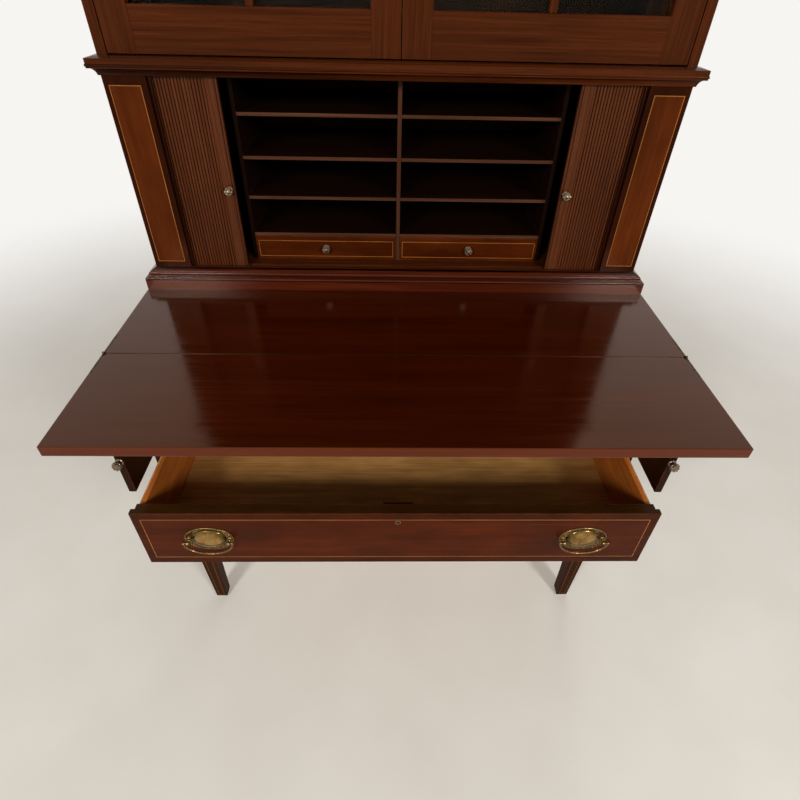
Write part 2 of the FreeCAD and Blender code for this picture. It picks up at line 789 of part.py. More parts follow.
def upper_case():
    """Sides, pilasters, tracked boards and back of the upper case."""
    rise = ("desk_height", UPPER_TOP)
    side_x = (UPPER_INNER, UPPER_OUTER)
    node(group("upper_sides", pair("upper_side_board", side_x, (CARCASS_FRONT, BACK), rise)))
    pilaster_x = (PILASTER_INNER, UPPER_OUTER)
    pilaster_y = (UPPER_FRONT, CARCASS_FRONT)
    pilasters = pair("pilaster", pilaster_x, pilaster_y, ("desk_height", WAIST_TOP))
    strip_x = (f"{PILASTER_INNER} - strip_width", PILASTER_INNER)
    strip_y = (f"{CARCASS_FRONT} - strip_depth", CARCASS_FRONT)
    strips = pair("edge_strip", strip_x, strip_y, (FLOOR_TOP, WAIST_UNDER))
    tall = f"{WAIST_UNDER} - {FLOOR_TOP}"
    for side, strip in zip(SIDES, strips):
        bead_x = signed(side, f"({PILASTER_INNER} - strip_width * 0.6)")
        bead = rod(f"edge_bead_{side}", "strip_bead", tall, bead_x, strip_y[0], FLOOR_TOP)
        pilasters.append(fused(f"beaded_strip_{side}", [strip, bead]))
    node(group("pilasters", pilasters))
    node(board("back_boards", (f"-{UPPER_INNER}", UPPER_INNER), (BACK_BOARD_FRONT, BACK), rise))
    floor_track = (f"{FLOOR_TOP} - track_depth", FLOOR_TOP)
    tracked_board("tambour_floor", f"{FLOOR_TOP} - floor_thickness", FLOOR_TOP, floor_track)
    waist_track = (WAIST_UNDER, f"{WAIST_UNDER} + track_depth")
    tracked_board("waist_board", WAIST_UNDER, WAIST_TOP, waist_track)


# Tambour doors


def slat_run(name, count, low, high, x, y, angle):
    """A row of reeded slats: from its start along the turned +X, the reeds to the turned -Y.

    Args:
        name: the body's name.
        count: expression for the number of slats.
        low, high: heights of the slats' ends.
        x, y: the start of the run, on the line of the slats' backs.
        angle: turn about Z in degrees.
    """
    body = doc.addObject("PartDesign::Body", name)
    roles = {feature.Role: feature for feature in body.Origin.OriginFeatures}
    sketch = body.newObject("Sketcher::SketchObject", f"{name}_profile")
    sketch.AttachmentSupport = (roles["XY_Plane"], [""])
    sketch.MapMode = "FlatFace"
    gap = value("slat_gap") / 2
    wide = value("slat_pitch - slat_gap")
    shoulder = value(SLAT_SHOULDER)
    crown = FreeCAD.Vector(gap + wide / 2, -value("slat_thickness"), 0)
    back_corner = FreeCAD.Vector(gap, 0, 0)
    near_corner = FreeCAD.Vector(gap + wide, 0, 0)
    drop = FreeCAD.Vector(0, -shoulder, 0)
    back = sketch.addGeometry(Part.LineSegment(back_corner, near_corner))
    left = sketch.addGeometry(Part.LineSegment(back_corner, back_corner + drop))
    right = sketch.addGeometry(Part.LineSegment(near_corner, near_corner + drop))
    reed = sketch.addGeometry(Part.Arc(back_corner + drop, crown, near_corner + drop))
    sketch.addConstraint(
        [
            Sketcher.Constraint("Coincident", back, 1, left, 1),
            Sketcher.Constraint("Coincident", back, 2, right, 1),
            Sketcher.Constraint("Coincident", reed, 1, left, 2),
            Sketcher.Constraint("Coincident", reed, 2, right, 2),
            Sketcher.Constraint("PointOnObject", back, 1, -1),
            Sketcher.Constraint("Horizontal", back),
            Sketcher.Constraint("Vertical", left),
            Sketcher.Constraint("Vertical", right),
            Sketcher.Constraint("Equal", left, right),
        ]
    )
    driven = {
        "start": (Sketcher.Constraint("DistanceX", -1, 1, back, 1, gap), "slat_gap / 2"),
        "width": (Sketcher.Constraint("DistanceX", back, 1, back, 2, wide), "slat_pitch - slat_gap"),
        "shoulder": (Sketcher.Constraint("DistanceY", left, 2, left, 1, shoulder), SLAT_SHOULDER),
        "reed": (Sketcher.Constraint("Radius", reed, value(REED_RADIUS)), REED_RADIUS),
    }
    for label, (constraint, text) in driven.items():
        index = sketch.addConstraint(constraint)
        sketch.renameConstraint(index, label)
        sketch.setExpression(f"Constraints.{label}", linked(text))
    pad = body.newObject("PartDesign::Pad", f"{name}_slat")
    pad.Profile = sketch
    bind(pad, Length=f"({high}) - ({low})")
    doc.recompute()
    row_of = body.newObject("PartDesign::LinearPattern", f"{name}_row")
    row_of.Originals = [pad]
    row_of.Direction = (roles["X_Axis"], [""])
    row_of.Mode = "Spacing"
    bind(row_of, Occurrences=count, Offset="slat_pitch")
    body.Tip = row_of
    return put(body, x, y, low, FreeCAD.Rotation(FreeCAD.Vector(0, 0, 1), angle))


def tambour_doors():
    """Each door stands open: a lead behind the pilaster, a side run and a tail in the pocket."""
    low = f"({FLOOR_TOP} + slat_clearance)"
    high = f"({WAIST_UNDER} - slat_clearance)"
    tongue_low = f"({FLOOR_TOP} - track_depth + slat_clearance)"
    tongue_high = f"({WAIST_UNDER} + track_depth - slat_clearance)"
    stile_front = f"({SLAT_FRONT} - stile_proud)"
    tail = "(tail_slats * slat_pitch)"
    for side in SIDES:
        name = f"tambour_{side}"
        right = SIDES[side] > 0
        stile_x = mirrored(side, TAMBOUR_EDGE, f"{LEAD_START} - slat_gap")
        stile = board(f"{name}_stile", stile_x, (stile_front, SLAT_BACK), (low, high))
        lead_x = LEAD_START if right else f"-{LEAD_END}"
        lead = slat_run(f"{name}_lead_slats", "lead_slats", tongue_low, tongue_high, lead_x, SLAT_BACK, 0)
        node(group(f"{name}_lead", [stile, lead]))
        side_y = SLAT_BACK if right else SIDE_END
        run_x = signed(side, LEAD_END)
        node(slat_run(f"{name}_side", "side_slats", low, high, run_x, side_y, 90 * SIDES[side]))
        tail_x = LEAD_END if right else f"-({LEAD_END} - {tail})"
        node(slat_run(f"{name}_tail", "tail_slats", low, high, tail_x, SIDE_END, 180))
        knob_x = signed(side, f"({TAMBOUR_EDGE} + stile_width / 2)")
        node(knob(f"{name}_knob", knob_x, stile_front, "(desk_height + tambour_knob_rise)"))


# Letter fittings and small drawers


def letter_fittings():
    """Walls, divider, shelves and the two small drawers behind the tambours."""
    tall = (FLOOR_TOP, WAIST_UNDER)
    wall_x = (FITTINGS_HALF, f"{FITTINGS_HALF} + fittings_wall")
    walls = pair("fittings_wall_board", wall_x, (WALL_FRONT, BACK_BOARD_FRONT), tall)
    deep = (FITTINGS_FRONT, BACK_BOARD_FRONT)
    divider = board("fittings_divider", ("-divider / 2", "divider / 2"), deep, tall)
    node(group("letter_partitions", walls + [divider]))

    column = ("divider / 2", FITTINGS_HALF)
    shelves = []
    for number in range(int(value("letter_rows"))):
        low = f"{SMALL_HIGH} + {number} * {LETTER_PITCH}"
        shelves += pair(f"letter_shelf_{number}", column, deep, (low, f"{low} + letter_shelf"))
    node(group("letter_shelves", shelves))

    front = (FITTINGS_FRONT, f"{FITTINGS_FRONT} + small_front")
    low = f"({FLOOR_TOP} + small_play)"
    high = f"({SMALL_HIGH} - small_play)"
    inner = "(divider / 2 + small_play)"
    outer = f"({FITTINGS_HALF} - small_play)"
    back = f"({BACK_BOARD_FRONT} - small_stop)"
    for side in SIDES:
        name = f"small_drawer_{side}"
        node(board(f"{name}_front", mirrored(side, inner, outer), front, (low, high)))
        walls = [(inner, f"{inner} + small_board"), (f"{outer} - small_board", outer)]
        wall_z = (low, f"{high} - small_board")
        planks = [
            board(f"{name}_plank_{number}", mirrored(side, *wall), (front[1], back), wall_z)
            for number, wall in enumerate(walls)
        ]
        inside = mirrored(side, walls[0][1], walls[1][0])
        floor_high = f"({low} + small_bottom)"
        planks.append(board(f"{name}_floor", inside, (front[1], back), (low, floor_high)))
        rear = (f"{back} - small_board", back)
        planks.append(board(f"{name}_back", inside, rear, (floor_high, f"{high} - small_board")))
        node(group(f"{name}_box", planks))
        middle = signed(side, f"(({inner} + {outer}) / 2)")
        node(knob(f"{name}_knob", middle, FITTINGS_FRONT, f"(({low} + {high}) / 2)"))


# Bookcase


def door_hinge(name, side, low, moving):
    """One half of a butt hinge: a leaf in the gap beside the door, with its knuckles round the pin."""
    axis_x = f"({UPPER_INNER} - door_gap / 2)"
    axis_y = f"({CARCASS_FRONT} - knuckle_radius - knuckle_clear)"
    high = f"({low} + door_hinge_height)"
    third = "door_hinge_height / 3"
    if moving:
        leaf_x = (f"{UPPER_INNER} - door_gap", f"{UPPER_INNER} - door_gap + door_hinge_leaf")
        spans = {"middle": (f"({low} + {third} + knuckle_gap)", f"({high} - {third} - knuckle_gap)")}
    else:
        leaf_x = (f"{UPPER_INNER} - door_hinge_leaf", UPPER_INNER)
        spans = {"lower": (low, f"({low} + {third})"), "upper": (f"({high} - {third})", high)}
    leaf_y = (CARCASS_FRONT, f"{CARCASS_FRONT} + door_hinge_reach")
    pieces = [board(f"{name}_leaf", mirrored(side, *leaf_x), leaf_y, (low, high))]
    centre = signed(side, axis_x)
    for where, span in spans.items():
        length = f"{span[1]} - {span[0]}"
        pieces.append(rod(f"{name}_{where}_knuckle", "knuckle_radius", length, centre, axis_y, span[0]))
        neck_y = (axis_y, CARCASS_FRONT)
        pieces.append(board(f"{name}_{where}_neck", mirrored(side, *leaf_x), neck_y, span))
    if moving:
        hole = rod(f"{name}_hole", "door_pin + pin_play", "door_hinge_height", centre, axis_y, low)
        return cut(name, fused(f"{name}_whole", pieces), hole)
    pieces.append(rod(f"{name}_pin", "door_pin", "door_hinge_height", centre, axis_y, low))
    return fused(name, pieces)


def bookcase():
    """The case top, shelves, hinges and glazed doors."""
    inside = (f"-{UPPER_INNER}", UPPER_INNER)
    case_top = (BOOKCASE_UNDER, f"{BOOKCASE_UNDER} + bookcase_top")
    node(board("bookcase_top_board", inside, (CARCASS_FRONT, BACK_BOARD_FRONT), case_top))
    shelf_half = f"({UPPER_INNER} - shelf_play)"
    deep = (f"{CARCASS_FRONT} + door_thickness + shelf_setback", BACK_BOARD_FRONT)
    boards = []
    for number in (1, 2, 3):
        low = f"({WAIST_TOP} + bookcase_height * {number} / 4 - bookcase_shelf / 2)"
        shelf_z = (low, f"{low} + bookcase_shelf")
        boards.append(board(f"shelf_{number}", (f"-{shelf_half}", shelf_half), deep, shelf_z))
        cleat_x = (f"{UPPER_INNER} - cleat", UPPER_INNER)
        boards += pair(f"cleat_{number}", cleat_x, deep, (f"{low} - cleat", low))
    node(group("bookcase_shelves", boards))

    low = f"({WAIST_TOP} + door_gap)"
    high = f"({BOOKCASE_UNDER} - door_gap)"
    hinge_lows = {
        "lower": f"({low} + door_hinge_inset)",
        "upper": f"({high} - door_hinge_inset - door_hinge_height)",
    }
    fixed = [
        door_hinge(f"case_hinge_{side}_{where}", side, hinge_low, False)
        for side in SIDES
        for where, hinge_low in hinge_lows.items()
    ]
    node(group("door_hinges_fixed", fixed))

    depth = (CARCASS_FRONT, f"{CARCASS_FRONT} + door_thickness")
    bar_y = (f"{CARCASS_FRONT} + bar_setback", f"{CARCASS_FRONT} + glass_setback")
    glass_y = (bar_y[1], f"{bar_y[1]} + glass_thickness")
    meet = "(door_meet / 2)"
    edge = f"({UPPER_INNER} - door_gap)"
    light = (f"{meet} + door_stile", f"{edge} - door_stile")
    light_low = f"({low} + door_bottom_rail)"
    light_high = f"({high} - door_top_rail)"
    centre = f"(({meet} + {edge}) / 2)"
    for side in SIDES:
        name = f"door_{side}"
        frame = [
            board(f"{name}_meeting_stile", mirrored(side, meet, light[0]), depth, (low, high)),
            board(f"{name}_hanging_stile", mirrored(side, light[1], edge), depth, (low, high)),
            board(f"{name}_bottom_rail", mirrored(side, *light), depth, (low, light_low)),
            board(f"{name}_top_rail", mirrored(side, *light), depth, (light_high, high)),
        ]
        bar = (f"{centre} - bar_width / 2", f"{centre} + bar_width / 2")
        frame.append(board(f"{name}_upright_bar", mirrored(side, *bar), bar_y, (light_low, light_high)))
        for number in (1, 2, 3):
            bar_low = f"({light_low} + ({light_high} - {light_low}) * {number} / 4 - bar_width / 2)"
            bar_z = (bar_low, f"{bar_low} + bar_width")
            inner_half = mirrored(side, light[0], bar[0])
            outer_half = mirrored(side, bar[1], light[1])
            frame.append(board(f"{name}_inner_bar_{number}", inner_half, bar_y, bar_z))
            frame.append(board(f"{name}_outer_bar_{number}", outer_half, bar_y, bar_z))
        node(group(f"{name}_frame", frame))
        node(board(f"{name}_glass", mirrored(side, *light), glass_y, (light_low, light_high)))
        brasses = [
            door_hinge(f"{name}_hinge_{where}", side, hinge_low, True)
            for where, hinge_low in hinge_lows.items()
        ]
        knob_x = signed(side, f"({meet} + door_stile / 2)")
        brasses.append(knob(f"{name}_pull", knob_x, CARCASS_FRONT, f"({low} + bookcase_height * 0.4)"))
        node(group(f"{name}_brasses", brasses))


lower_case()
desk_top()
drawers_and_lopers()
mouldings()
upper_case()
tambour_doors()
letter_fittings()
bookcase()
doc.recompute()

# Check everything before writing
for item in doc.Objects:
    if "Invalid" in item.State or "Error" in item.State:
        raise RuntimeError(f"{item.Name} did not compute: {item.State}")
for item in nodes:
    if item.Shape.isNull() or not item.Shape.isValid() or not item.Shape.Solids:
        raise RuntimeError(f"{item.Label} has no sound shape")

os.makedirs("parts", exist_ok=True)
for item in nodes:
    item.Shape.exportStep(f"parts/{item.Label}.step")
print(len(nodes), "pieces written")
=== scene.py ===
"""Looks of the secretary bookcase.

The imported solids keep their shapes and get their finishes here. The stringing, oval pulls, rosette knobs,
lock cases, dovetails and screws are modelled here and ride on the solids.
Sizes are in millimetres, and the meshes in metres.
"""

import json
import logging
import math
from dataclasses import dataclass
from enum import Enum
from functools import partial
from typing import Any, Callable, Optional, Sequence

import bmesh
import bpy
from bpy.types import Material, NodeSocket, NodeTree, Object
from mathutils import Matrix, Vector

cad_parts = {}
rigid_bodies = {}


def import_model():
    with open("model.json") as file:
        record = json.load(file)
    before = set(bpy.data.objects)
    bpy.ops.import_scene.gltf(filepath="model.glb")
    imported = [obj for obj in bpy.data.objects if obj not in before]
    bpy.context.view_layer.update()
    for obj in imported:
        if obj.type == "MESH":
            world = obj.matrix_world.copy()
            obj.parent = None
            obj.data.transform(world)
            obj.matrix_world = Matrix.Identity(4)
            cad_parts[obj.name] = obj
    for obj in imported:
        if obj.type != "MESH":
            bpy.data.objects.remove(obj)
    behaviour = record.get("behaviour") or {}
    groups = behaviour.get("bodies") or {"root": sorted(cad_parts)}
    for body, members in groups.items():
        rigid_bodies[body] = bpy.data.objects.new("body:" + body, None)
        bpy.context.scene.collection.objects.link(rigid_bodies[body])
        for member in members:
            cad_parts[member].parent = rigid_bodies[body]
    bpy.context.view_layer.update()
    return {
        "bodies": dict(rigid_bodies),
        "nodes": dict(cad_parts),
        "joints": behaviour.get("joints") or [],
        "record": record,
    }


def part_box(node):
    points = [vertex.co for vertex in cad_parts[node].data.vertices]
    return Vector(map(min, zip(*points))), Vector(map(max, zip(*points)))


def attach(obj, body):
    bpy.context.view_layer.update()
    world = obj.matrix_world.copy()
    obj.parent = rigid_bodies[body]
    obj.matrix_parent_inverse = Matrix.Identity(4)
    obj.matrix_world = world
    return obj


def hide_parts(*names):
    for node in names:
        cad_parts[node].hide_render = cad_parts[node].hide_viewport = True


MM = 0.001
QUARTER = math.pi / 2
# Farther than any board reaches
FAR = 3000.0
# How far a zone reaches to either side of the face that it covers
SKIN = 1.0
# How near a point lies to the place where it is looked for
SLACK = 0.01
# Most of a noise lies between these values, the first range of a Map Range
NOISE_SPAN = {1: 0.3, 2: 0.7}
UNTINTED = "#ffffff"
LOG = logging.getLogger("secretary_bookcase")
Span = tuple[float, float]
Triple = tuple[float, float, float]
Profile = Sequence[Span]
Stops = Sequence[tuple[float, str]]
Test = Callable[[Vector], bool]
Add = Callable[..., Any]


class Grain(Enum):
    """The way that the grain of a board runs."""

    ALONG_X = 0
    ALONG_Y = 1
    ALONG_Z = 2


class Side(Enum):
    """A side of the piece, seen from the front."""

    LEFT = -1
    RIGHT = 1

    @property
    def word(self) -> str:
        """The side's name as the solids spell it."""
        return self.name.lower()


class Tier(Enum):
    """A long drawer of the lower case."""

    LOWER = "lower"
    UPPER = "upper"


class Element(Enum):
    """What is picked on a piece that is being shaped."""

    FACES = "FACE"
    POINTS = "VERT"


# Finishes


def linear(colour: str) -> tuple[float, float, float, float]:
    """Turn an sRGB hex colour into linear values.

    Args:
        colour: the colour as #rrggbb.

    Returns:
        Linear red, green and blue, and a full alpha.
    """
    parts = [int(colour[first : first + 2], 16) / 255 for first in (1, 3, 5)]
    red, green, blue = (
        part / 12.92 if part <= 0.04045 else ((part + 0.055) / 1.055) ** 2.4 for part in parts
    )
    return red, green, blue, 1.0


def add_node(
    tree: NodeTree,
    kind: str,
    inputs: Optional[dict[Any, Any]] = None,
    out: Any = 0,
    stops: Stops = (),
    **settings: Any,
) -> Optional[NodeSocket]:
    """Add a shader node with its settings and links.

    Args:
        tree: the node tree.
        kind: the node's type, without the word ShaderNode.
        inputs: by socket name or number, a value to set or an output to link.
        out: the name or number of the output that is wanted.
        stops: places and colours of a colour ramp.
        settings: the node's own properties.

    Returns:
        The wanted output, or nothing where the node has none.
    """
    node = tree.nodes.new(f"ShaderNode{kind}")
    for name, setting in settings.items():
        setattr(node, name, setting)
    for key, given in (inputs or {}).items():
        if isinstance(given, NodeSocket):
            tree.links.new(given, node.inputs[key])
        else:
            node.inputs[key].default_value = given
    for number, (place, colour) in enumerate(stops):
        elements = node.color_ramp.elements
        stop = elements[number] if number < len(elements) else elements.new(place)
        stop.position = place
        stop.color = linear(colour)
    return node.outputs[out] if len(node.outputs) else None


class Nodes:
    """The nodes of a new material. They start from the place on the piece."""

    def __init__(self, name: str) -> None:
        """Make the material and empty it.

        Args:
            name: the material's name.
        """
        self.material = bpy.data.materials.new(name)
        self.material.use_nodes = True
        self.material.node_tree.nodes.clear()
        self.add: Add = partial(add_node, self.material.node_tree)
        self.place: NodeSocket = self.add("TexCoord", out="Object")

    def fold(self) -> NodeSocket:
        """Fold the place over the middle plane, so that left and right are alike."""
        flipped = self.add("VectorMath", {0: self.place, 1: (-1, 1, 1)}, operation="MULTIPLY")
        return self.add("VectorMath", {0: self.place, 1: flipped}, operation="MAXIMUM")

    def depths(self, place: NodeSocket, low: Vector, high: Vector) -> Sequence[NodeSocket]:
        """Measure how far a place lies inside a box, from the nearer face each way.

        Args:
            place: the place.
            low: the box's low corner, in metres.
            high: its high corner.

        Returns:
            The depths along X, Y and Z.
        """
        away = self.add("VectorMath", {0: place, 1: (low + high) / 2}, operation="SUBTRACT")
        away = self.add("VectorMath", {0: away}, operation="ABSOLUTE")
        deep = self.add("VectorMath", {0: (high - low) / 2, 1: away}, operation="SUBTRACT")
        return self.add("SeparateXYZ", {0: deep}).node.outputs

    def mottle(
        self, size: float, stops: Stops, detail: float = 4.0, grit: float = 0.5
    ) -> tuple[NodeSocket, NodeSocket]:
        """Make a noise with patches of a size in millimetres, and the colour that a ramp's stops give it.

        Args:
            size: the size of the patches.
            stops: the ramp's stops.
            detail: how many finer layers the noise has.
            grit: how strong they are.

        Returns:
            The noise and the colour.
        """
        patches = {"Vector": self.place, "Scale": 1 / (size * MM), "Detail": detail, "Roughness": grit}
        noise = self.add("TexNoise", patches)
        return noise, self.add("ValToRGB", {"Fac": noise}, stops=stops)

    def finish(self, kind: str, inputs: dict[Any, Any]) -> Material:
        """Add the shader that everything leads to, and return the material."""
        self.add("OutputMaterial", {"Surface": self.add(kind, inputs)})
        return self.material


def seen_rays(add: Add) -> NodeSocket:
    """Make a mask of the rays that see the studio: straight, in a polish or through glass.

    Args:
        add: adds a node.

    Returns:
        The mask.
    """
    rays = add("LightPath").node.outputs
    seen = rays["Is Camera Ray"]
    for other in ("Is Glossy Ray", "Is Transmission Ray"):
        seen = add("Math", {0: seen, 1: rays[other]}, operation="MAXIMUM")
    return seen


@dataclass(frozen=True)
class Zone:
    """A box, in millimetres, where a board's colour or grain differs. X is counted from the middle plane.

    Args:
        tint: what the colour is multiplied by inside.
        x: the limits across.
        y: the limits in depth.
        z: the limits in height.
        crossed: whether the grain runs the lay's cross way inside.
    """

    tint: str = UNTINTED
    x: Span = (-FAR, FAR)
    y: Span = (-FAR, FAR)
    z: Span = (-FAR, FAR)
    crossed: bool = False

    def mask(self, nodes: Nodes, folded: NodeSocket) -> NodeSocket:
        """Make a mask that is one inside the zone.

        Args:
            nodes: the material's nodes.
            folded: the place, with X counted from the middle plane.

        Returns:
            The mask.
        """
        low, high = (Vector(corner) * MM for corner in zip(self.x, self.y, self.z))
        x, y, z = nodes.depths(folded, low, high)
        least = nodes.add("Math", {0: x, 1: y}, operation="MINIMUM")
        least = nodes.add("Math", {0: least, 1: z}, operation="MINIMUM")
        return nodes.add("Math", {0: least, 1: 0.0}, operation="GREATER_THAN")


@dataclass(frozen=True)
class Lay:
    """How a finish lies on one piece.

    Args:
        grain: the way the grain runs.
        cross: the way it runs inside crossed zones.
        zones: the boxes that differ.
        seed: shifts the pattern, so that no two boards are alike.
        worn_box: corners of the board whose edges are rubbed, in metres.
        mirrored: whether the board comes as a pair, left and right of the middle plane.
    """

    grain: Grain
    cross: Optional[Grain] = None
    zones: tuple[Zone, ...] = ()
    seed: int = 0
    worn_box: Optional[tuple[Vector, Vector]] = None
    mirrored: bool = False


@dataclass(frozen=True)
class Wood:
    """A sawn and finished wood: streaks along the grain, a broad figure, open pores and rubbed edges.

    Streaks, figure and pores each have a width and a run along the grain, in millimetres.
    The pores of the real wood are about 0.2 mm wide. They are drawn wider, so that they show in a render.
    Slow waves bend the grain, three to a metre. The rubbed edges are patchy, with 45 patches to a metre.
    The ramp and the spans are values of a noise: where the dark, middle and light colours lie, and where
    pores and patches start and are full.
    """

    name: str
    dark: str
    body: str
    light: str
    worn: str
    streak: Span = (5.0, 240.0)
    figure: Span = (75.0, 420.0)
    figure_depth: float = 0.18
    pore: Span = (1.3, 16.0)
    pore_depth: float = 0.3
    pore_relief: float = 0.15
    wave_mm: float = 1000 / 3
    wave_swing: float = 14.0
    wear_mm: float = 1.4
    wear_patch: float = 1000 / 45
    roughness: float = 0.25
    unevenness: Span = (-0.05, 0.06)
    lacquer: float = 0.25
    gleam: str = "#ffd2ae"
    seed_step: Triple = (7.3, 3.1, 5.7)
    ramp: Triple = (0.3, 0.5, 0.72)
    pore_span: Span = (0.56, 0.68)
    pore_bump: float = 0.25
    patch_span: Span = (0.35, 0.65)
    patch_wear: Span = (0.15, 0.85)

    def material(self, part: str, lay: Lay) -> Material:
        """Make this wood for one piece.

        Args:
            part: the piece's name.
            lay: how the wood lies on it.

        Returns:
            The material.
        """
        nodes = Nodes(f"{self.name}_{part}")
        add, place, folded = nodes.add, nodes.place, nodes.fold()
        masks = [zone.mask(nodes, folded) for zone in lay.zones]
        crossed = [mask for mask, zone in zip(masks, lay.zones) if zone.crossed]
        for mask in crossed[1:]:
            crossed[0] = add("Math", {0: crossed[0], 1: mask}, operation="MAXIMUM")
        waves = add("TexNoise", {"Vector": place, "Scale": 1 / (self.wave_mm * MM), "Detail": 2.0}, "Color")
        swing = add("VectorMath", {0: waves, 1: (0.5, 0.5, 0.5)}, operation="SUBTRACT")
        swing = add("VectorMath", {0: swing, "Scale": self.wave_swing * MM}, operation="SCALE")
        wavy = add("VectorMath", {0: place, 1: swing}, operation="ADD")
        shift = [lay.seed * step for step in self.seed_step]

        def layer(width: float, run: float, detail: float) -> NodeSocket:
            """Make a noise that is stretched along the grain.

            Args:
                width: how wide its streaks are, in millimetres.
                run: how long they are.
                detail: how many finer layers it has.

            Returns:
                The noise.
            """
            ways = []
            for way in filter(None, (lay.grain, lay.cross)):
                scale = [1 / (MM * (run if axis == way.value else width)) for axis in range(3)]
                ways.append(add("Mapping", {"Vector": wavy, "Scale": scale, "Location": shift}))
            where = ways[0]
            if crossed:
                where = add("Mix", {0: crossed[0], 4: ways[0], 5: ways[1]}, 1, data_type="VECTOR")
            return add("TexNoise", {"Vector": where, "Scale": 1.0, "Detail": detail, "Roughness": 0.6})

        streaks = layer(*self.streak, detail=5.0)
        figure = layer(*self.figure, detail=2.0)
        pores = layer(*self.pore, detail=1.0)
        dark, middle, light = self.ramp
        stops = ((dark, self.dark), (light, self.light), (middle, self.body))
        colour = add("ValToRGB", {"Fac": streaks}, stops=stops)
        bands = add("MapRange", {0: figure, **NOISE_SPAN, 3: 1 - self.figure_depth, 4: 1 + self.figure_depth})
        colour = add("HueSaturation", {"Value": bands, "Color": colour})
        begin, full = self.pore_span
        pores = add("MapRange", {0: pores, 1: begin, 2: full, 3: 0.0, 4: self.pore_depth})
        colour = add("Mix", {0: pores, 6: colour, 7: linear(self.dark)}, 2, data_type="RGBA")
        for mask, zone in zip(masks, lay.zones):
            if zone.tint != UNTINTED:
                tinted = {0: mask, 6: colour, 7: linear(zone.tint)}
                colour = add("Mix", tinted, 2, data_type="RGBA", blend_type="MULTIPLY")
        if lay.worn_box:
            wear = self._wear(nodes, folded if lay.mirrored else place, lay.worn_box)
            colour = add("Mix", {0: wear, 6: colour, 7: linear(self.worn)}, 2, data_type="RGBA")
        smooth, rough = (self.roughness + change for change in self.unevenness)
        relief = {"Height": pores, "Strength": self.pore_bump, "Distance": self.pore_relief * MM}
        surface = {
            "Base Color": colour,
            "Roughness": add("MapRange", {0: streaks, **NOISE_SPAN, 3: smooth, 4: rough}),
            "Specular IOR Level": self.lacquer,
            "Specular Tint": linear(self.gleam),
            "Normal": add("Bump", relief, invert=True),
        }
        return nodes.finish("BsdfPrincipled", surface)

    def _wear(self, nodes: Nodes, place: NodeSocket, box: tuple[Vector, Vector]) -> NodeSocket:
        """Make a mask of the rubbed edges: where two faces of the board's box are near.

        Args:
            nodes: the material's nodes.
            place: the place on the board.
            box: the corners of the board's box, in metres.

        Returns:
            The mask, patchy along the edges.
        """
        add = nodes.add
        x, y, z = nodes.depths(place, *box)
        nearest = add("Math", {0: x, 1: y}, operation="MINIMUM")
        farther = add("Math", {0: x, 1: y}, operation="MAXIMUM")
        second = add("Math", {0: farther, 1: z}, operation="MINIMUM")
        second = add("Math", {0: nearest, 1: second}, operation="MAXIMUM")
        fade = {0: second, 1: 0.0, 2: self.wear_mm * MM, 3: 1.0, 4: 0.0}
        edge = add("MapRange", fade, interpolation_type="SMOOTHSTEP")
        patches = add("TexNoise", {"Vector": place, "Scale": 1 / (self.wear_patch * MM), "Detail": 3.0})
        begin, full = self.patch_span
        least, most = self.patch_wear
        patchy = add("MapRange", {0: patches, 1: begin, 2: full, 3: least, 4: most})
        return add("Math", {0: edge, 1: patchy}, operation="MULTIPLY")


@dataclass(frozen=True)
class Brass:
    """Cast and stamped brass, browned with age: dull brown in patches, and, where a middle is given, darker
    round a bright oval as a painted dark reflection.

    Where a middle is given, an oval round it stays bright and the colour outside it darkens, a painted
    reflection of dark surroundings.
    The field rubbed holds the oval's half width and half height. The dark reflection's span is a share of
    that oval. The ramp gives the values of a noise where the colours lie.
    """

    name: str
    bright: str
    brown: str
    patch_mm: float = 5.0
    roughness: float = 0.3
    unevenness: Span = (-0.06, 0.14)
    relief: float = 0.2
    bump: float = 0.12
    ramp: Span = (0.36, 0.68)
    grit: float = 0.65
    # The oval that the painted dark reflection leaves bright: half width and half height
    rubbed: Span = (27.0, 24.0)
    grime: str = "#241a0e"
    grime_span: Span = (0.55, 1.05)
    grime_depth: float = 0.85

    def material(self, middle: Optional[Vector] = None) -> Material:
        """Make this brass.

        Args:
            middle: the middle of the bright oval, outside which the painted dark reflection lies, in
                millimetres, where there is one.

        Returns:
            The material.
        """
        nodes = Nodes(self.name)
        add = nodes.add
        stops = tuple(zip(self.ramp, (self.bright, self.brown)))
        age, colour = nodes.mottle(self.patch_mm, stops, grit=self.grit)
        # Painted dark reflection: outside the bright oval the colour darkens towards the ends of the dome
        if middle is not None:
            ways = (1 / (self.rubbed[0] * MM), 0, 1 / (self.rubbed[1] * MM))
            away = add("VectorMath", {0: nodes.fold(), 1: middle * MM}, operation="SUBTRACT")
            away = add("VectorMath", {0: away, 1: ways}, operation="MULTIPLY")
            away = add("VectorMath", {0: away}, "Value", operation="LENGTH")
            begin, full = self.grime_span
            fade = {0: away, 1: begin, 2: full, 3: 0.0, 4: self.grime_depth}
            grime = add("MapRange", fade, interpolation_type="SMOOTHSTEP")
            colour = add("Mix", {0: grime, 6: colour, 7: linear(self.grime)}, 2, data_type="RGBA")
        smooth, rough = (self.roughness + change for change in self.unevenness)
        surface = {
            "Base Color": colour,
            "Metallic": 1.0,
            "Roughness": add("MapRange", {0: age, **NOISE_SPAN, 3: smooth, 4: rough}),
            "Normal": add("Bump", {"Height": age, "Strength": self.bump, "Distance": self.relief * MM}),
        }
        return nodes.finish("BsdfPrincipled", surface)


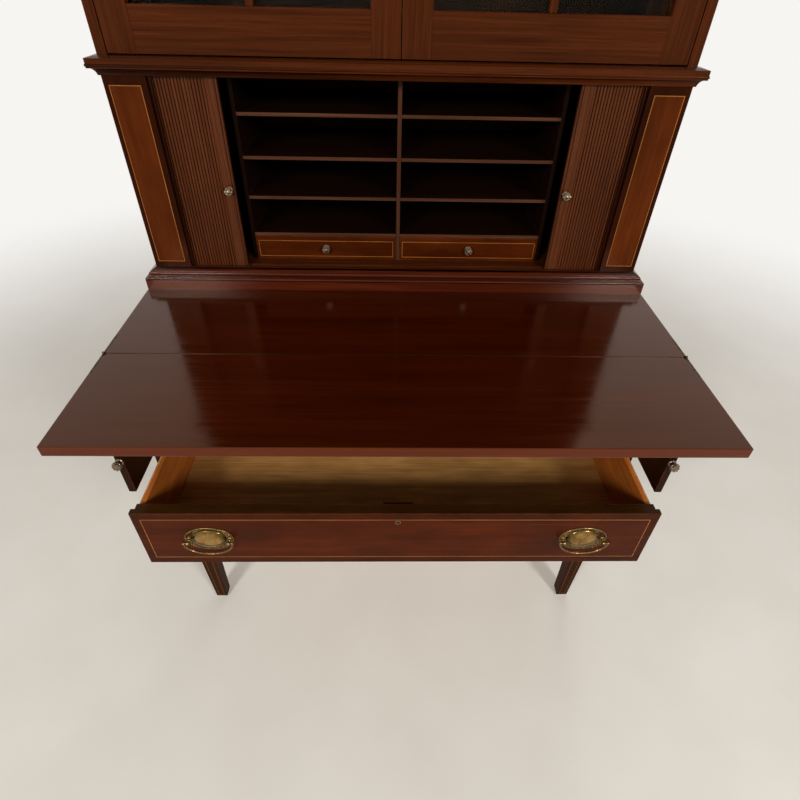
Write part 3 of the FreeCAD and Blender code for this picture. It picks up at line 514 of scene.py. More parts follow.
@dataclass(frozen=True)
class DrawnGlass:
    """Drawn window glass: clear with a faint green, and slow waves that bend what is seen in it.

    The panes are thin and old, so they mirror less and bend light less than a block of glass would.
    The ramp gives the values of a noise where the two colours lie.
    """

    name: str = "drawn_window_glass"
    clear: str = "#f4faf6"
    green: str = "#e6f3ec"
    roughness: float = 0.02
    ior: float = 1.12
    wave_mm: float = 60.0
    relief: float = 1.0
    bump: float = 0.06
    ramp: Span = (0.35, 0.65)

    def material(self) -> Material:
        """Make the glass.

        Returns:
            The material.
        """
        nodes = Nodes(self.name)
        stops = tuple(zip(self.ramp, (self.clear, self.green)))
        waves, colour = nodes.mottle(self.wave_mm, stops, detail=1.0)
        relief = {"Height": waves, "Strength": self.bump, "Distance": self.relief * MM}
        surface = {
            "Base Color": colour,
            "Roughness": self.roughness,
            "IOR": self.ior,
            "Transmission Weight": 1.0,
            "Normal": nodes.add("Bump", relief),
        }
        return nodes.finish("BsdfPrincipled", surface)


@dataclass(frozen=True)
class Matt:
    """A plain dull material with a fine speckle, such as plated steel or the dark of a hole."""

    name: str
    pale: str
    deep: str
    roughness: float
    metallic: float = 0.0
    speck_mm: float = 2.0

    def material(self) -> Material:
        """Make the material.

        Returns:
            The material.
        """
        nodes = Nodes(self.name)
        stops = tuple(zip(NOISE_SPAN.values(), (self.pale, self.deep)))
        colour = nodes.mottle(self.speck_mm, stops)[1]
        surface = {"Base Color": colour, "Metallic": self.metallic, "Roughness": self.roughness}
        return nodes.finish("BsdfPrincipled", surface)


@dataclass(frozen=True)
class StudioFloor:
    """A pale matt floor that sweeps up to white far from the object, as a photographer's backdrop does.

    The sweep starts and ends at the near and the far distance, in metres.
    """

    name: str = "pale_studio_floor"
    pale: str = "#e9e4db"
    deep: str = "#e3ddd3"
    white: str = "#f7f5f2"
    roughness: float = 0.8
    gloss: float = 0.1
    mottle_mm: float = 240.0
    near: float = 1.3
    far: float = 3.2

    def material(self) -> Material:
        """Make the floor's material.

        Returns:
            The material.
        """
        nodes = Nodes(self.name)
        add = nodes.add
        stops = tuple(zip(NOISE_SPAN.values(), (self.pale, self.deep)))
        colour = nodes.mottle(self.mottle_mm, stops)[1]
        matt = {"Base Color": colour, "Roughness": self.roughness, "Specular IOR Level": self.gloss}
        ground = add("BsdfPrincipled", matt)
        sweep = add("Emission", {"Color": linear(self.white), "Strength": 1.0})
        away = add("VectorMath", {0: nodes.place}, "Value", operation="LENGTH")
        rise = {0: away, 1: self.near, 2: self.far, 3: 0.0, 4: 1.0}
        fade = add("MapRange", rise, interpolation_type="SMOOTHSTEP")
        fade = add("Math", {0: fade, 1: seen_rays(add)}, operation="MULTIPLY")
        return nodes.finish("MixShader", {0: fade, 1: ground, 2: sweep})


# Polished mahogany of the case: red-brown with darker streaks under a semi-gloss lacquer
CASE_MAHOGANY = Wood("polished_mahogany", "#331305", "#421c09", "#4d230d", "#5c3116", lacquer=0.08)
# The plinth is redder and has a higher gloss, so that its beads glint
PLINTH_MAHOGANY = Wood(
    "polished_plinth_mahogany", "#380f04", "#471807", "#52210d", "#5c3116", roughness=0.16, lacquer=0.22,
    gleam="#ffe6d8",
)
# The desk top is mahogany rubbed to a higher gloss. Its upper face is tinted darker than its edges, a painted
# shade for light that falls from the front
TOP_MAHOGANY = Wood(
    "desk_top_mahogany", "#501f06", "#582308", "#60280b", "#7d421d", (8.0, 240.0), pore_depth=0.15,
    roughness=0.14, lacquer=0.46, gleam="#ffb67c",
)
TOP_FACE_SHADE = "#a88c48"
EDGE = "#e8b482"
# Veneered faces of pilasters and drawer fronts: a livelier figure and a warmer red
VENEER = Wood(
    "figured_mahogany_veneer", "#461a04", "#4d1f06", "#552408", "#6a3717", (9.0, 240.0), (48.0, 105.0),
    figure_depth=0.3, pore_depth=0.15, roughness=0.22, lacquer=0.07,
)
# A long drawer's field is a shade darker than the pilasters, and the banding round it darker still
FIELD = "#e0cdb8"
BANDING = "#c4b6ac"
# Painted shade and sheen: the upper edge of a long drawer is tinted darker and greyer, for the shade under
# the leaf and the grey sheen of its polish
UPPER_EDGE_SHADE_AND_SHEEN = "#aee4ff"
# The small drawers stand in the shade, so their fronts are tinted darker as painted shade
SMALL_FRONT_SHADE = "#e4dede"
# Reeded slats are straight in the grain, with a thinner polish
SLAT_MAHOGANY = Wood(
    "reeded_mahogany", "#3a190a", "#4c230f", "#5d3017", "#6b3c1f", (3.0, 240.0), roughness=0.3, lacquer=0.2
)
# Painted shade: grooves between the reeds, the reveals beside the pilasters' beads and the joint of the desk
# top are tinted dark, and fine grooves beside the tambour's beads and in the plinth darker still
GROOVE = "#5f5048"
QUIRK = "#3d322d"
# The letter fittings are a dark stained wood. Behind their front edges they are tinted almost black as
# painted shade, and so is the inner face of the back boards
STAINED = Wood(
    "dark_stained_mahogany", "#38200f", "#4a2c1e", "#5a3828", "#5a3828", roughness=0.5, lacquer=0.1
)
RECESS_SHADE = "#5a4c46"
# The margin outside a pilaster's stringing is a shade darker than its field
MARGIN = "#93837a"
# Painted shade: lopers are tinted darker than the case for the shade under the leaf, and so are the
# pilasters' beads. The legs are a darker wood as painted shade under the drawers, and their polish has worn
# off
SHADED = "#8a7a70"
LEG_MAHOGANY = Wood(
    "dull_leg_mahogany", "#271105", "#311707", "#3a1d0b", "#462612", roughness=0.45, lacquer=0.04
)
# Drawer boxes are a dull tan board. Their sides have gone orange with age
DRAWER_WOOD = Wood(
    "waxed_drawer_wood", "#a4723a", "#b58247", "#c29155", "#dfa566", figure=(40.0, 110.0),
    figure_depth=0.24, pore_depth=0.2, wear_mm=5.0, roughness=0.55, lacquer=0.05,
)
ORANGE = "#f6c092"
# Backs, dust boards and runners are a plain brown board with no polish
BARE = Wood(
    "bare_secondary_wood", "#614429", "#6c4b2e", "#785637", "#8f6d4a", (8.0, 240.0), pore_depth=0.15,
    roughness=0.62, lacquer=0.05,
)
# Stringing is a pale satinwood, gone honey-coloured under the lacquer
STRING = Wood("satinwood_stringing", "#80491f", "#925b29", "#a46d36", "#a46d36", (2.0, 60.0), lacquer=0.1)
# The domes of the plates are rubbed bright, and the other brasses of the drawers have browned
ANTIQUE_BRASS = Brass("antique_brass", "#b28f53", "#785a2e", patch_mm=14.0, roughness=0.18)
WORN_BRASS = Brass("browned_brass", "#8f7447", "#443019", patch_mm=2.5, roughness=0.22)
# The straps are seldom touched and have dulled
STRAP_BRASS = Brass("dulled_strap_brass", "#5a4628", "#2b1f10", roughness=0.4)
# Knobs are handled most, so their brass is rubbed pale
KNOB_BRASS = Brass("rubbed_knob_brass", "#94816d", "#4b3b2d", patch_mm=2.5, roughness=0.28)
# The inside of a keyhole is near black, as painted shade in the hole
KEYHOLE = Matt("keyhole_shadow", "#0b0805", "#060403", 0.9)
# The glides under the feet are grey plated steel
PLATED_STEEL = Matt("plated_steel_glide", "#c9c4bb", "#9a948a", 0.4, 0.8)


# Work at the bench


def clear_bench() -> None:
    """Leave edit mode and deselect everything."""
    if bpy.context.object and bpy.context.object.mode != "OBJECT":
        bpy.ops.object.mode_set(mode="OBJECT")
    bpy.ops.object.select_all(action="DESELECT")


def start(name: str, primitive: Callable[..., Any], **settings: Any) -> Object:
    """Add a primitive, put its turn and place into its mesh, and open it for shaping.

    Args:
        name: the piece's name.
        primitive: the operator that adds it.
        settings: the operator's settings.

    Returns:
        The piece, in edit mode with all its faces selected.
    """
    clear_bench()
    primitive(**settings)
    piece = bpy.context.object
    piece.name = name
    piece.data.name = name
    bpy.ops.object.transform_apply(location=True, rotation=True, scale=True)
    bpy.ops.object.mode_set(mode="EDIT")
    bpy.ops.mesh.select_mode(type="FACE")
    bpy.ops.mesh.select_all(action="SELECT")
    return piece


def extrude(shift: Triple) -> None:
    """Extrude what is selected by a shift in millimetres."""
    bpy.ops.mesh.extrude_region_move(TRANSFORM_OT_translate={"value": Vector(shift) * MM})


def pick(piece: Object, test: Test, element: Element = Element.FACES) -> None:
    """Select the faces of a piece in edit mode by their middles, or its points by their places.

    Args:
        piece: the piece.
        test: says of a place whether what lies there is wanted.
        element: whether faces or points are picked.
    """
    bpy.ops.mesh.select_mode(type=element.value)
    mesh = bmesh.from_edit_mesh(piece.data)
    if element is Element.FACES:
        places = [(face, face.calc_center_median()) for face in mesh.faces]
    else:
        places = [(point, point.co) for point in mesh.verts]
    for part, place in places:
        part.select_set(test(place))
    mesh.select_flush_mode()
    bmesh.update_edit_mesh(piece.data)


def two_tone(piece: Object, ground: Material, other: Material, test: Test) -> None:
    """Give a piece in edit mode two materials.

    Args:
        piece: the piece.
        ground: the material of most faces.
        other: the material of the faces that are wanted.
        test: says of a face's middle whether it is wanted.
    """
    for material in (ground, other):
        piece.data.materials.append(material)
    pick(piece, test)
    piece.active_material_index = 1
    bpy.ops.object.material_slot_assign()


def close_up(piece: Object, angle: Optional[float] = None) -> Object:
    """Merge a piece's doubles, turn its faces outwards, leave edit mode and smooth it.

    Args:
        piece: the piece, in edit mode.
        angle: the angle in degrees up to which edges are shaded smooth, or nothing for flat faces.

    Returns:
        The piece.
    """
    bpy.ops.mesh.select_all(action="SELECT")
    bpy.ops.mesh.remove_doubles(threshold=0.002 * MM)
    bpy.ops.mesh.normals_make_consistent(inside=False)
    bpy.ops.object.mode_set(mode="OBJECT")
    if angle:
        bpy.ops.object.shade_smooth_by_angle(angle=math.radians(angle))
    return piece


def copy_to(piece: Object, name: str, shift: Sequence[float], turn: float = 0.0) -> Object:
    """Copy a piece with its own mesh.

    Args:
        piece: the piece.
        name: the copy's name.
        shift: how far the copy is moved, in millimetres.
        turn: how far it is turned about the upright axis before the move.

    Returns:
        The copy.
    """
    clear_bench()
    piece.select_set(True)
    bpy.context.view_layer.objects.active = piece
    bpy.ops.object.duplicate()
    twin = bpy.context.object
    twin.name = name
    twin.data.name = name
    twin.data.transform(Matrix.Translation(Vector(shift) * MM) @ Matrix.Rotation(turn, 4, "Z"))
    return twin


def join(name: str, pieces: Sequence[Object]) -> Object:
    """Join pieces into the first one.

    Args:
        name: the name of the joined piece.
        pieces: the pieces.

    Returns:
        The joined piece.
    """
    clear_bench()
    for piece in pieces:
        piece.select_set(True)
    bpy.context.view_layer.objects.active = pieces[0]
    bpy.ops.object.join()
    pieces[0].name = name
    pieces[0].data.name = name
    return pieces[0]


def discard(piece: Object) -> None:
    """Take away a pattern piece that has been copied."""
    bpy.data.objects.remove(piece)


def turned(name: str, profile: Profile, sides: int) -> Object:
    """Turn a piece on the lathe, standing on the middle of the plane Y = 0 and pointing to the front.

    Args:
        name: the piece's name.
        profile: radii and rises in millimetres, from the foot to the tip.
        sides: how many sides the round has.

    Returns:
        The piece, in edit mode.
    """
    radius, rise = profile[0]
    piece = start(
        name, bpy.ops.mesh.primitive_circle_add, vertices=sides, radius=radius * MM, fill_type="NGON",
        location=(0, -rise * MM, 0), rotation=(QUARTER, 0, 0),
    )
    for wider, higher in profile[1:]:
        extrude((0, rise - higher, 0))
        share = wider / radius
        bpy.ops.transform.resize(value=(share, 1, share))
        radius, rise = wider, higher
    return piece


def string_frame(
    name: str, corners: Sequence[float], face: float, line: float = 1.15, rise: float = 0.2
) -> Object:
    """Lay a frame of stringing on a face that looks to the front.

    Args:
        name: the piece's name.
        corners: left, bottom, right and top, in millimetres.
        face: the face's Y.
        line: the string's width.
        rise: how far it stands proud, so that it shows.

    Returns:
        The stringing, in edit mode.
    """
    left, bottom, right, top = corners
    middle = Vector(((left + right) / 2, face + rise, (bottom + top) / 2)) * MM
    piece = start(name, bpy.ops.mesh.primitive_plane_add, size=1, location=middle, rotation=(QUARTER, 0, 0))
    bpy.ops.transform.resize(value=((right - left) * MM, 1, (top - bottom) * MM))
    bpy.ops.mesh.inset(thickness=line * MM)
    bpy.ops.mesh.delete(type="FACE")
    bpy.ops.mesh.select_all(action="SELECT")
    extrude((0, -2 * rise, 0))
    return piece


def box_mm(node: str) -> tuple[Vector, Vector]:
    """The low and the high corner of a solid's box, in millimetres."""
    low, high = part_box(node)
    return low / MM, high / MM


class Shop:
    """What every sub-assembly works with: the solids, the brasses, the patterns and a count of boards."""

    def __init__(self, frame: dict[str, Any]) -> None:
        """Take the frame and make the finishes that need no board.

        Args:
            frame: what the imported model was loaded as.
        """
        self.nodes: dict[str, Object] = frame["nodes"]
        self.brass = ANTIQUE_BRASS.material()
        self.dark_brass = WORN_BRASS.material()
        self.knob_brass = KNOB_BRASS.material()
        self.strap_brass = STRAP_BRASS.material()
        self.keyhole = KEYHOLE.material()
        self.glass = DrawnGlass().material()
        self.steel = PLATED_STEEL.material()
        self.patterns: dict[str, Object] = {}
        self.boards = 0

    def make_patterns(self) -> None:
        """Model once what is copied: the plate and the bail of a pull, a screw head and a knob."""
        pull = OvalPull()
        self.patterns["plate"] = pull.plate(self)
        self.patterns["bail"] = pull.bail()
        self.patterns["screw"] = Screw().build()
        self.patterns["knob"] = Knob().build()

    def coat(self, node: str, material: Material) -> Object:
        """Give a solid a material in place of its own.

        Args:
            node: the solid's name.
            material: the material.

        Returns:
            The solid's object.
        """
        solid = self.nodes[node]
        solid.data.materials.clear()
        solid.data.materials.append(material)
        LOG.info("%s: %s", node, material.name)
        return solid

    def wood(
        self, node: str, finish: Wood, grain: Grain, cross: Optional[Grain] = None,
        zones: tuple[Zone, ...] = (), pair: bool = False, worn: bool = True, edge: float = 0.6,
    ) -> None:
        """Give a wooden solid its finish and ease its edges.

        Args:
            node: the solid's name.
            finish: the wood.
            grain: the way its grain runs.
            cross: the way it runs inside crossed zones.
            zones: boxes whose colour or grain differs.
            pair: whether the solid is a pair, left and right of the middle plane.
            worn: whether its edges are rubbed.
            edge: the width of the eased edge in millimetres, or 0 to leave the edges.
        """
        self.boards += 1
        low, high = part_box(node)
        if pair:
            points = [abs(point.co.x) for point in self.nodes[node].data.vertices]
            low.x, high.x = min(points), max(points)
        box = (low, high) if worn else None
        lay = Lay(grain, cross, zones, self.boards, box, pair)
        solid = self.coat(node, finish.material(node, lay))
        if edge:
            weld = solid.modifiers.new("weld", "WELD")
            weld.merge_threshold = 0.005 * MM
            flat = solid.modifiers.new("flat_faces", "DECIMATE")
            flat.decimate_type = "DISSOLVE"
            flat.angle_limit = math.radians(0.5)
            ease = solid.modifiers.new("eased_edges", "BEVEL")
            ease.width = edge * MM
            ease.segments = 2
            ease.limit_method = "ANGLE"
            ease.angle_limit = math.radians(35)

    def lay_on(
        self, piece: Object, body: str, slot: str, material: Optional[Material], *replaced: str
    ) -> None:
        """Give a new piece its material, and let it ride.

        Args:
            piece: the piece.
            body: the body that carries it.
            slot: the material slot of the record; not used.
            material: the material, or nothing where the piece came with its own.
            replaced: solids that it stands for.
        """
        clear_bench()
        if material:
            piece.data.materials.clear()
            piece.data.materials.append(material)
        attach(piece, body)
        if replaced:
            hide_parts(*replaced)
        LOG.info("%s rides on %s", piece.name, body)

    def lay_board(
        self, piece: Object, body: str, slot: str, finish: Wood, grain: Grain, *zones: Zone
    ) -> None:
        """Give a new wooden piece its finish, and let it ride."""
        self.boards += 1
        self.lay_on(piece, body, slot, finish.material(piece.name, Lay(grain, zones=zones, seed=self.boards)))

    def string(self, piece: Object, body: str, grain: Grain = Grain.ALONG_X) -> None:
        """Finish a frame of stringing that is in edit mode, and let it ride."""
        self.lay_board(close_up(piece), body, "drawer_wood", STRING, grain)

    def fit_knob(self, name: str, at: Triple, body: str, *replaced: str) -> None:
        """Put a copy of the knob on a face, with its flange at a place in millimetres."""
        knob = copy_to(self.patterns["knob"], name, at)
        self.lay_on(knob, body, "brass", self.knob_brass, *replaced)


# Patterns


@dataclass
class Knob:
    """A small cast knob: a flange, a neck and a rosette head with petals round a button."""

    petals: int = 8
    petal_ring: float = 6.2
    petal_rise: float = 1.7
    profile: Profile = (
        (6.4, 0.0), (6.4, 1.1), (5.7, 1.9), (3.8, 2.6), (3.3, 4.6), (4.6, 5.4), (7.0, 6.6), (7.7, 7.8),
        (7.7, 9.4), (7.2, 10.1), (6.9, 10.2), (6.2, 11.3), (4.4, 12.3), (3.0, 12.4), (2.7, 12.9), (1.4, 13.5),
        (0.4, 13.6),
    )

    def build(self) -> Object:
        """Model the knob on the plane Y = 0.

        Returns:
            The knob.
        """
        piece = turned("knob_pattern", self.profile, sides=self.petals * 2)
        step = math.pi / self.petals

        def petal_crest(at: Vector) -> bool:
            """Whether a point is on a crest between two petals."""
            on_ring = abs(math.hypot(at.x, at.z) / MM - self.petal_ring) < SLACK
            return on_ring and round(math.atan2(at.z, at.x) / step) % 2 == 0

        pick(piece, petal_crest, Element.POINTS)
        bpy.ops.transform.translate(value=(0, -self.petal_rise * MM, 0))
        return close_up(piece, angle=25)


@dataclass
class OvalPull:
    """An oval plate with a beaded rim and a domed middle, two posts and a swinging bail.

    The rim's steps each go inwards and outwards. The bright share of the dome has a brighter brass.
    """

    width: float = 80.0
    height: float = 57.0
    thickness: float = 0.9
    rim: Profile = ((0.5, 0.6), (0.8, 0.35), (0.9, -0.1), (0.7, -0.7), (1.4, -0.35))
    dome_half: Span = (28.5, 22.5)
    dome_rise: float = 6.0
    dome_degrees: Sequence[int] = range(12, 90, 11)
    bright_share: float = 0.99
    beads: int = 64
    bead_radius: float = 0.95
    bead_rise: float = 1.75
    bead_inset: float = 1.7
    bead_squash: Triple = (1.05, 0.8, 1.05)
    post_offset: float = 32.8
    post_proud: float = 10.0
    post_stem: Profile = ((4.4, 0.6), (4.4, 1.7), (3.6, 2.5), (2.7, 3.0), (2.6, 5.5), (3.2, 6.0), (2.7, 6.6))
    post_head: float = 3.6
    post_tip: float = 0.3
    post_degrees: Sequence[int] = range(-45, 90, 15)
    bail_reach: float = 39.3
    bail_drop: float = 27.5
    bail_radius: float = 2.1
    bail_end: float = 2.7
    pin: float = 1.2
    pin_overlap: float = 2.0

    def plate(self, shop: Shop) -> Object:
        """Model the plate with its posts on the plane Y = 0, the dome in a brighter brass than the rest.

        Args:
            shop: the shop.

        Returns:
            The plate.
        """
        piece = start(
            "plate_pattern", bpy.ops.mesh.primitive_circle_add, vertices=72, radius=1.0, fill_type="NGON",
            rotation=(QUARTER, 0, 0),
        )
        bpy.ops.transform.resize(value=(self.width / 2 * MM, 1, self.height / 2 * MM))
        extrude((0, -self.thickness, 0))
        for inward, outward in self.rim:
            bpy.ops.mesh.inset(thickness=inward * MM)
            bpy.ops.transform.translate(value=(0, -outward * MM, 0))
        rim = sum(inward for inward, outward in self.rim)
        across, up = self.dome_half
        extrude((0, 0, 0))
        bpy.ops.transform.resize(value=(across / (self.width / 2 - rim), 1, up / (self.height / 2 - rim)))
        share, rise = 1.0, 0.0
        for degrees in self.dome_degrees:
            narrower = math.cos(math.radians(degrees))
            higher = self.dome_rise * math.sin(math.radians(degrees))
            extrude((0, rise - higher, 0))
            bpy.ops.transform.resize(value=(narrower / share, 1, narrower / share))
            share, rise = narrower, higher
        two_tone(
            piece, shop.dark_brass, shop.brass,
            lambda middle: math.hypot(middle.x / across, middle.z / up) < self.bright_share * MM,
        )
        close_up(piece, angle=60)
        beads = self._rim_beads()
        post = close_up(turned("post_pattern", self._post_profile(), sides=20), angle=50)
        for part in (beads, post):
            part.data.materials.append(shop.dark_brass)
        posts = [copy_to(post, "post", (side.value * self.post_offset, 0, 0)) for side in Side]
        discard(post)
        return join("plate_pattern", [piece, beads, *posts])

    def _post_profile(self) -> Profile:
        """Work out the turned shape of a post: a collar, a stem and a round head.

        Returns:
            The radii and rises, from the foot to the tip.
        """
        turns = [math.radians(degrees) for degrees in self.post_degrees]
        head, proud = self.post_head, self.post_proud
        ball = [(head * math.cos(turn), proud + head * math.sin(turn)) for turn in turns]
        return [*self.post_stem, *ball, (self.post_tip, proud + head)]

    def _rim_beads(self) -> Object:
        """Model the row of beads round the rim.

        Returns:
            The beads, as one piece.
        """
        bead = start(
            "bead_pattern", bpy.ops.mesh.primitive_uv_sphere_add, segments=6, ring_count=4,
            radius=self.bead_radius * MM, location=(0, -self.bead_rise * MM, 0),
        )
        bpy.ops.transform.resize(value=self.bead_squash)
        close_up(bead, angle=80)
        across, up = self.width / 2 - self.bead_inset, self.height / 2 - self.bead_inset
        turns = [2 * math.pi * number / self.beads for number in range(self.beads)]
        row = [copy_to(bead, "bead", (across * math.cos(turn), 0, up * math.sin(turn))) for turn in turns]
        discard(bead)
        return join("beads", row)

    def bail(self) -> Object:
        """Model the bail, hanging from the axis through the origin.

        Returns:
            The bail.
        """
        piece = start(
            "bail_pattern", bpy.ops.mesh.primitive_torus_add, major_radius=self.bail_reach * MM,
            minor_radius=self.bail_radius * MM, major_segments=72, minor_segments=14,
            rotation=(QUARTER, 0, 0),
        )
        bpy.ops.transform.resize(value=(1, 1, self.bail_drop / self.bail_reach))
        bpy.ops.mesh.bisect(plane_co=(0, 0, 0), plane_no=(0, 0, 1), clear_outer=True, use_fill=True)
        bpy.ops.mesh.select_all(action="DESELECT")
        length = self.bail_reach - self.post_offset + self.pin_overlap
        for side in Side:
            end = side.value * self.bail_reach * MM
            middle = side.value * (self.bail_reach - length / 2) * MM
            bpy.ops.mesh.primitive_uv_sphere_add(
                segments=18, ring_count=12, radius=self.bail_end * MM, location=(end, 0, 0)
            )
            bpy.ops.mesh.primitive_cylinder_add(
                vertices=14, radius=self.pin * MM, depth=length * MM, location=(middle, 0, 0),
                rotation=(0, QUARTER, 0),
            )
        return close_up(piece, angle=50)


@dataclass
class Screw:
    """A countersunk screw head with a slot."""

    profile: Profile = ((2.4, -0.4), (2.4, 0.1), (2.2, 0.25))
    slot: float = 0.6
    depth: float = 0.35

    def build(self) -> Object:
        """Model the head on the plane Y = 0, looking to the front.

        Returns:
            The head.
        """
        piece = turned("screw_pattern", self.profile, sides=20)
        half = self.slot / 2 * MM
        for edge in (-half, half):
            bpy.ops.mesh.select_all(action="SELECT")
            bpy.ops.mesh.bisect(plane_co=(0, 0, edge), plane_no=(0, 0, 1))
        front = (SLACK - self.profile[-1][1]) * MM
        pick(piece, lambda middle: abs(middle.z) < half and middle.y < front)
        extrude((0, self.depth, 0))
        return close_up(piece, angle=30)


# Sub-assemblies


@dataclass
class Assembly:
    """A sub-assembly, made in a shop."""

    shop: Shop

    def dress(self) -> None:
        """Give the solids their finishes."""

    def build(self) -> None:
        """Model the new pieces and let them ride."""


@dataclass
class LongDrawer(Assembly):
    """A long drawer: lipped front with stringing, two oval pulls, keyhole lining, lock and dovetailed box.

    Args:
        tier: the lower or the upper drawer.
        inset: how far the stringing lies inside the front's edges, at the ends and above and below.
        crest: how far down the painted shade and sheen on the upper edge of the front reach.
        bail_end: how far a bail's axis lies below the top of its solid.
        lining: radii and rises of the keyhole lining. The hole starts at the last but two.
        side_zone: how far the orange of the box's sides reaches inwards, a hair more than their thickness.
        tail_share: how much of the pitch a dovetail takes at its narrow end.
        tail_flare: how many times wider it is at the front.
    """

    tier: Tier
    inset: Span = (13.0, 15.0)
    crest: float = 0.6
    bail_end: float = 2.6
    lining: Profile = ((4.9, -1.5), (4.9, 0.3), (4.4, 0.6), (3.3, 0.6), (3.0, 0.3), (2.3, -1.9), (2.2, -18.0))
    lock: Triple = (48.0, 9.0, 30.0)
    lock_drop: float = 22.0
    lock_rim: float = 4.0
    lock_panel: float = 0.8
    lock_round: float = 0.5
    lock_screw: float = 2.6
    front_thickness: float = 20.0
    side_zone: float = 9.1
    tails: int = 5
    tail_reach: float = 8.5
    tail_share: float = 0.68
    tail_flare: float = 0.4 / 0.34
    tail_rise: float = 0.15

    @property
    def drawer(self) -> str:
        """The name of the drawer's body."""
        return f"{self.tier.value}_drawer"

    def dress(self) -> None:
        """Give the front and the box their woods."""
        low, high = box_mm(f"{self.drawer}_front")
        end, bottom, top = high.x - self.inset[0], low.z + self.inset[1], high.z - self.inset[1]
        face = (low.y - SKIN, low.y + SKIN)
        crest = high.z - self.crest
        zones = (
            Zone(FIELD, (0, end), face, (bottom, top)),
            Zone(BANDING, (0, end), face, (0, bottom)),
            Zone(BANDING, (0, end), face, (top, crest)),
            Zone(BANDING, (end, FAR), face, (0, crest)),
            # Painted shade and sheen on the upper edge of the front
            Zone(UPPER_EDGE_SHADE_AND_SHEEN, z=(crest, FAR)),
        )
        self.shop.wood(f"{self.drawer}_front", VENEER, Grain.ALONG_X, zones=zones, edge=0.8)
        between = box_mm(f"{self.drawer}_box")[1].x - self.side_zone
        zones = (Zone(x=(-SKIN, between), crossed=True), Zone(ORANGE, (between, FAR)))
        self.shop.wood(f"{self.drawer}_box", DRAWER_WOOD, Grain.ALONG_Y, Grain.ALONG_X, zones, edge=0.8)

    def build(self) -> None:
        """Model the stringing, brasses and dovetails."""
        shop, drawer = self.shop, self.drawer
        low, high = box_mm(f"{drawer}_front")
        ends, rails = self.inset
        corners = (low.x + ends, low.z + rails, high.x - ends, high.z - rails)
        shop.string(string_frame(f"{drawer}_stringing", corners, low.y), drawer)
        parts = []
        for side in Side:
            node = f"{drawer}_bail_{side.word}"
            bail_low, bail_high = box_mm(node)
            at = (bail_low + bail_high) / 2
            at.z = bail_high.z - self.bail_end
            swing = copy_to(shop.patterns["bail"], f"{drawer}_swinging_bail_{side.word}", at)
            shop.lay_on(swing, f"{self.tier.value}_bail_{side.word}", "brass", shop.dark_brass, node)
            parts.append(copy_to(shop.patterns["plate"], "plate", (at.x, low.y, at.z)))
        key_z = high.z - self.lock_drop
        parts.append(self._lining(low.y, key_z))
        parts.append(self._lock_case(low.y + self.front_thickness, key_z))
        parts[-1].data.materials.append(shop.dark_brass)
        brasses = join(f"{drawer}_pulls_and_lock", parts)
        # The material folds left and right together, so the last plate's middle does for both
        # The domes' brass has the painted dark reflection towards their ends
        brasses.data.materials[1] = ANTIQUE_BRASS.material(Vector((abs(at.x), 0, at.z)))
        shop.lay_on(brasses, drawer, "brass", None, f"{drawer}_brasses")
        self._dovetails()

    def _lining(self, face: float, height: float) -> Object:
        """Model the keyhole lining: a low ring with the hole sunk into it, whose inside is near black as
        painted shade.

        Args:
            face: the front's Y.
            height: the keyhole's Z.

        Returns:
            The lining.
        """
        ring = turned("keyhole_lining", self.lining, sides=32)
        hole, mouth = (size * MM for size in self.lining[-3])
        # Painted shade: the inside of the hole is near black
        two_tone(
            ring, self.shop.dark_brass, self.shop.keyhole,
            lambda middle: math.hypot(middle.x, middle.z) < hole and middle.y > -mouth,
        )
        close_up(ring, angle=40)
        ring.data.transform(Matrix.Translation(Vector((0, face, height)) * MM))
        return ring

    def _lock_case(self, back: float, height: float) -> Object:
        """Model the lock case behind the front, with its four screws.

        Args:
            back: the Y of the front's inner face.
            height: the keyhole's Z.

        Returns:
            The lock case.
        """
        width, depth, tall = self.lock
        middle = Vector((0, back + depth / 2, height)) * MM
        case = start("lock_case", bpy.ops.mesh.primitive_cube_add, size=1, location=middle)
        bpy.ops.transform.resize(value=Vector(self.lock) * MM)
        pick(case, lambda middle: middle.y > (back + depth - SLACK) * MM)
        bpy.ops.mesh.inset(thickness=self.lock_rim * MM)
        bpy.ops.transform.translate(value=(0, self.lock_panel * MM, 0))
        bpy.ops.mesh.select_all(action="SELECT")
        bpy.ops.mesh.bevel(offset=self.lock_round * MM, segments=2, affect="EDGES")
        parts = [close_up(case, angle=40)]
        screw = self.shop.patterns["screw"]
        across, up = width / 2 - self.lock_screw, tall / 2 - self.lock_screw
        for x in (-across, across):
            for z in (height - up, height + up):
                parts.append(copy_to(screw, "lock_screw", (x, back + depth, z), math.pi))
        return join("lock_case", parts)

    def _dovetails(self) -> None:
        """Model the dovetails where the sides meet the front: thin tails, wider towards the front."""
        low, high = box_mm(f"{self.drawer}_box")
        pitch = (high.z - low.z) / self.tails
        middle = low.y - self.tail_reach / 2
        for side in Side:
            row = []
            for number in range(self.tails):
                at = Vector((side.value * high.x, middle, low.z + (number + 0.5) * pitch)) * MM
                upright = (0, side.value * QUARTER, 0)
                tail = start("tail", bpy.ops.mesh.primitive_plane_add, size=1, location=at, rotation=upright)
                bpy.ops.transform.resize(value=(1, self.tail_reach * MM, self.tail_share * pitch * MM))
                pick(tail, lambda at: at.y < middle * MM, Element.POINTS)
                bpy.ops.transform.resize(value=(1, 1, self.tail_flare))
                bpy.ops.mesh.select_all(action="SELECT")
                extrude((side.value * self.tail_rise, 0, 0))
                row.append(close_up(tail))
            tails = join(f"{self.drawer}_dovetails_{side.word}", row)
            self.shop.lay_board(tails, self.drawer, "drawer_wood", DRAWER_WOOD, Grain.ALONG_Y, Zone(ORANGE))


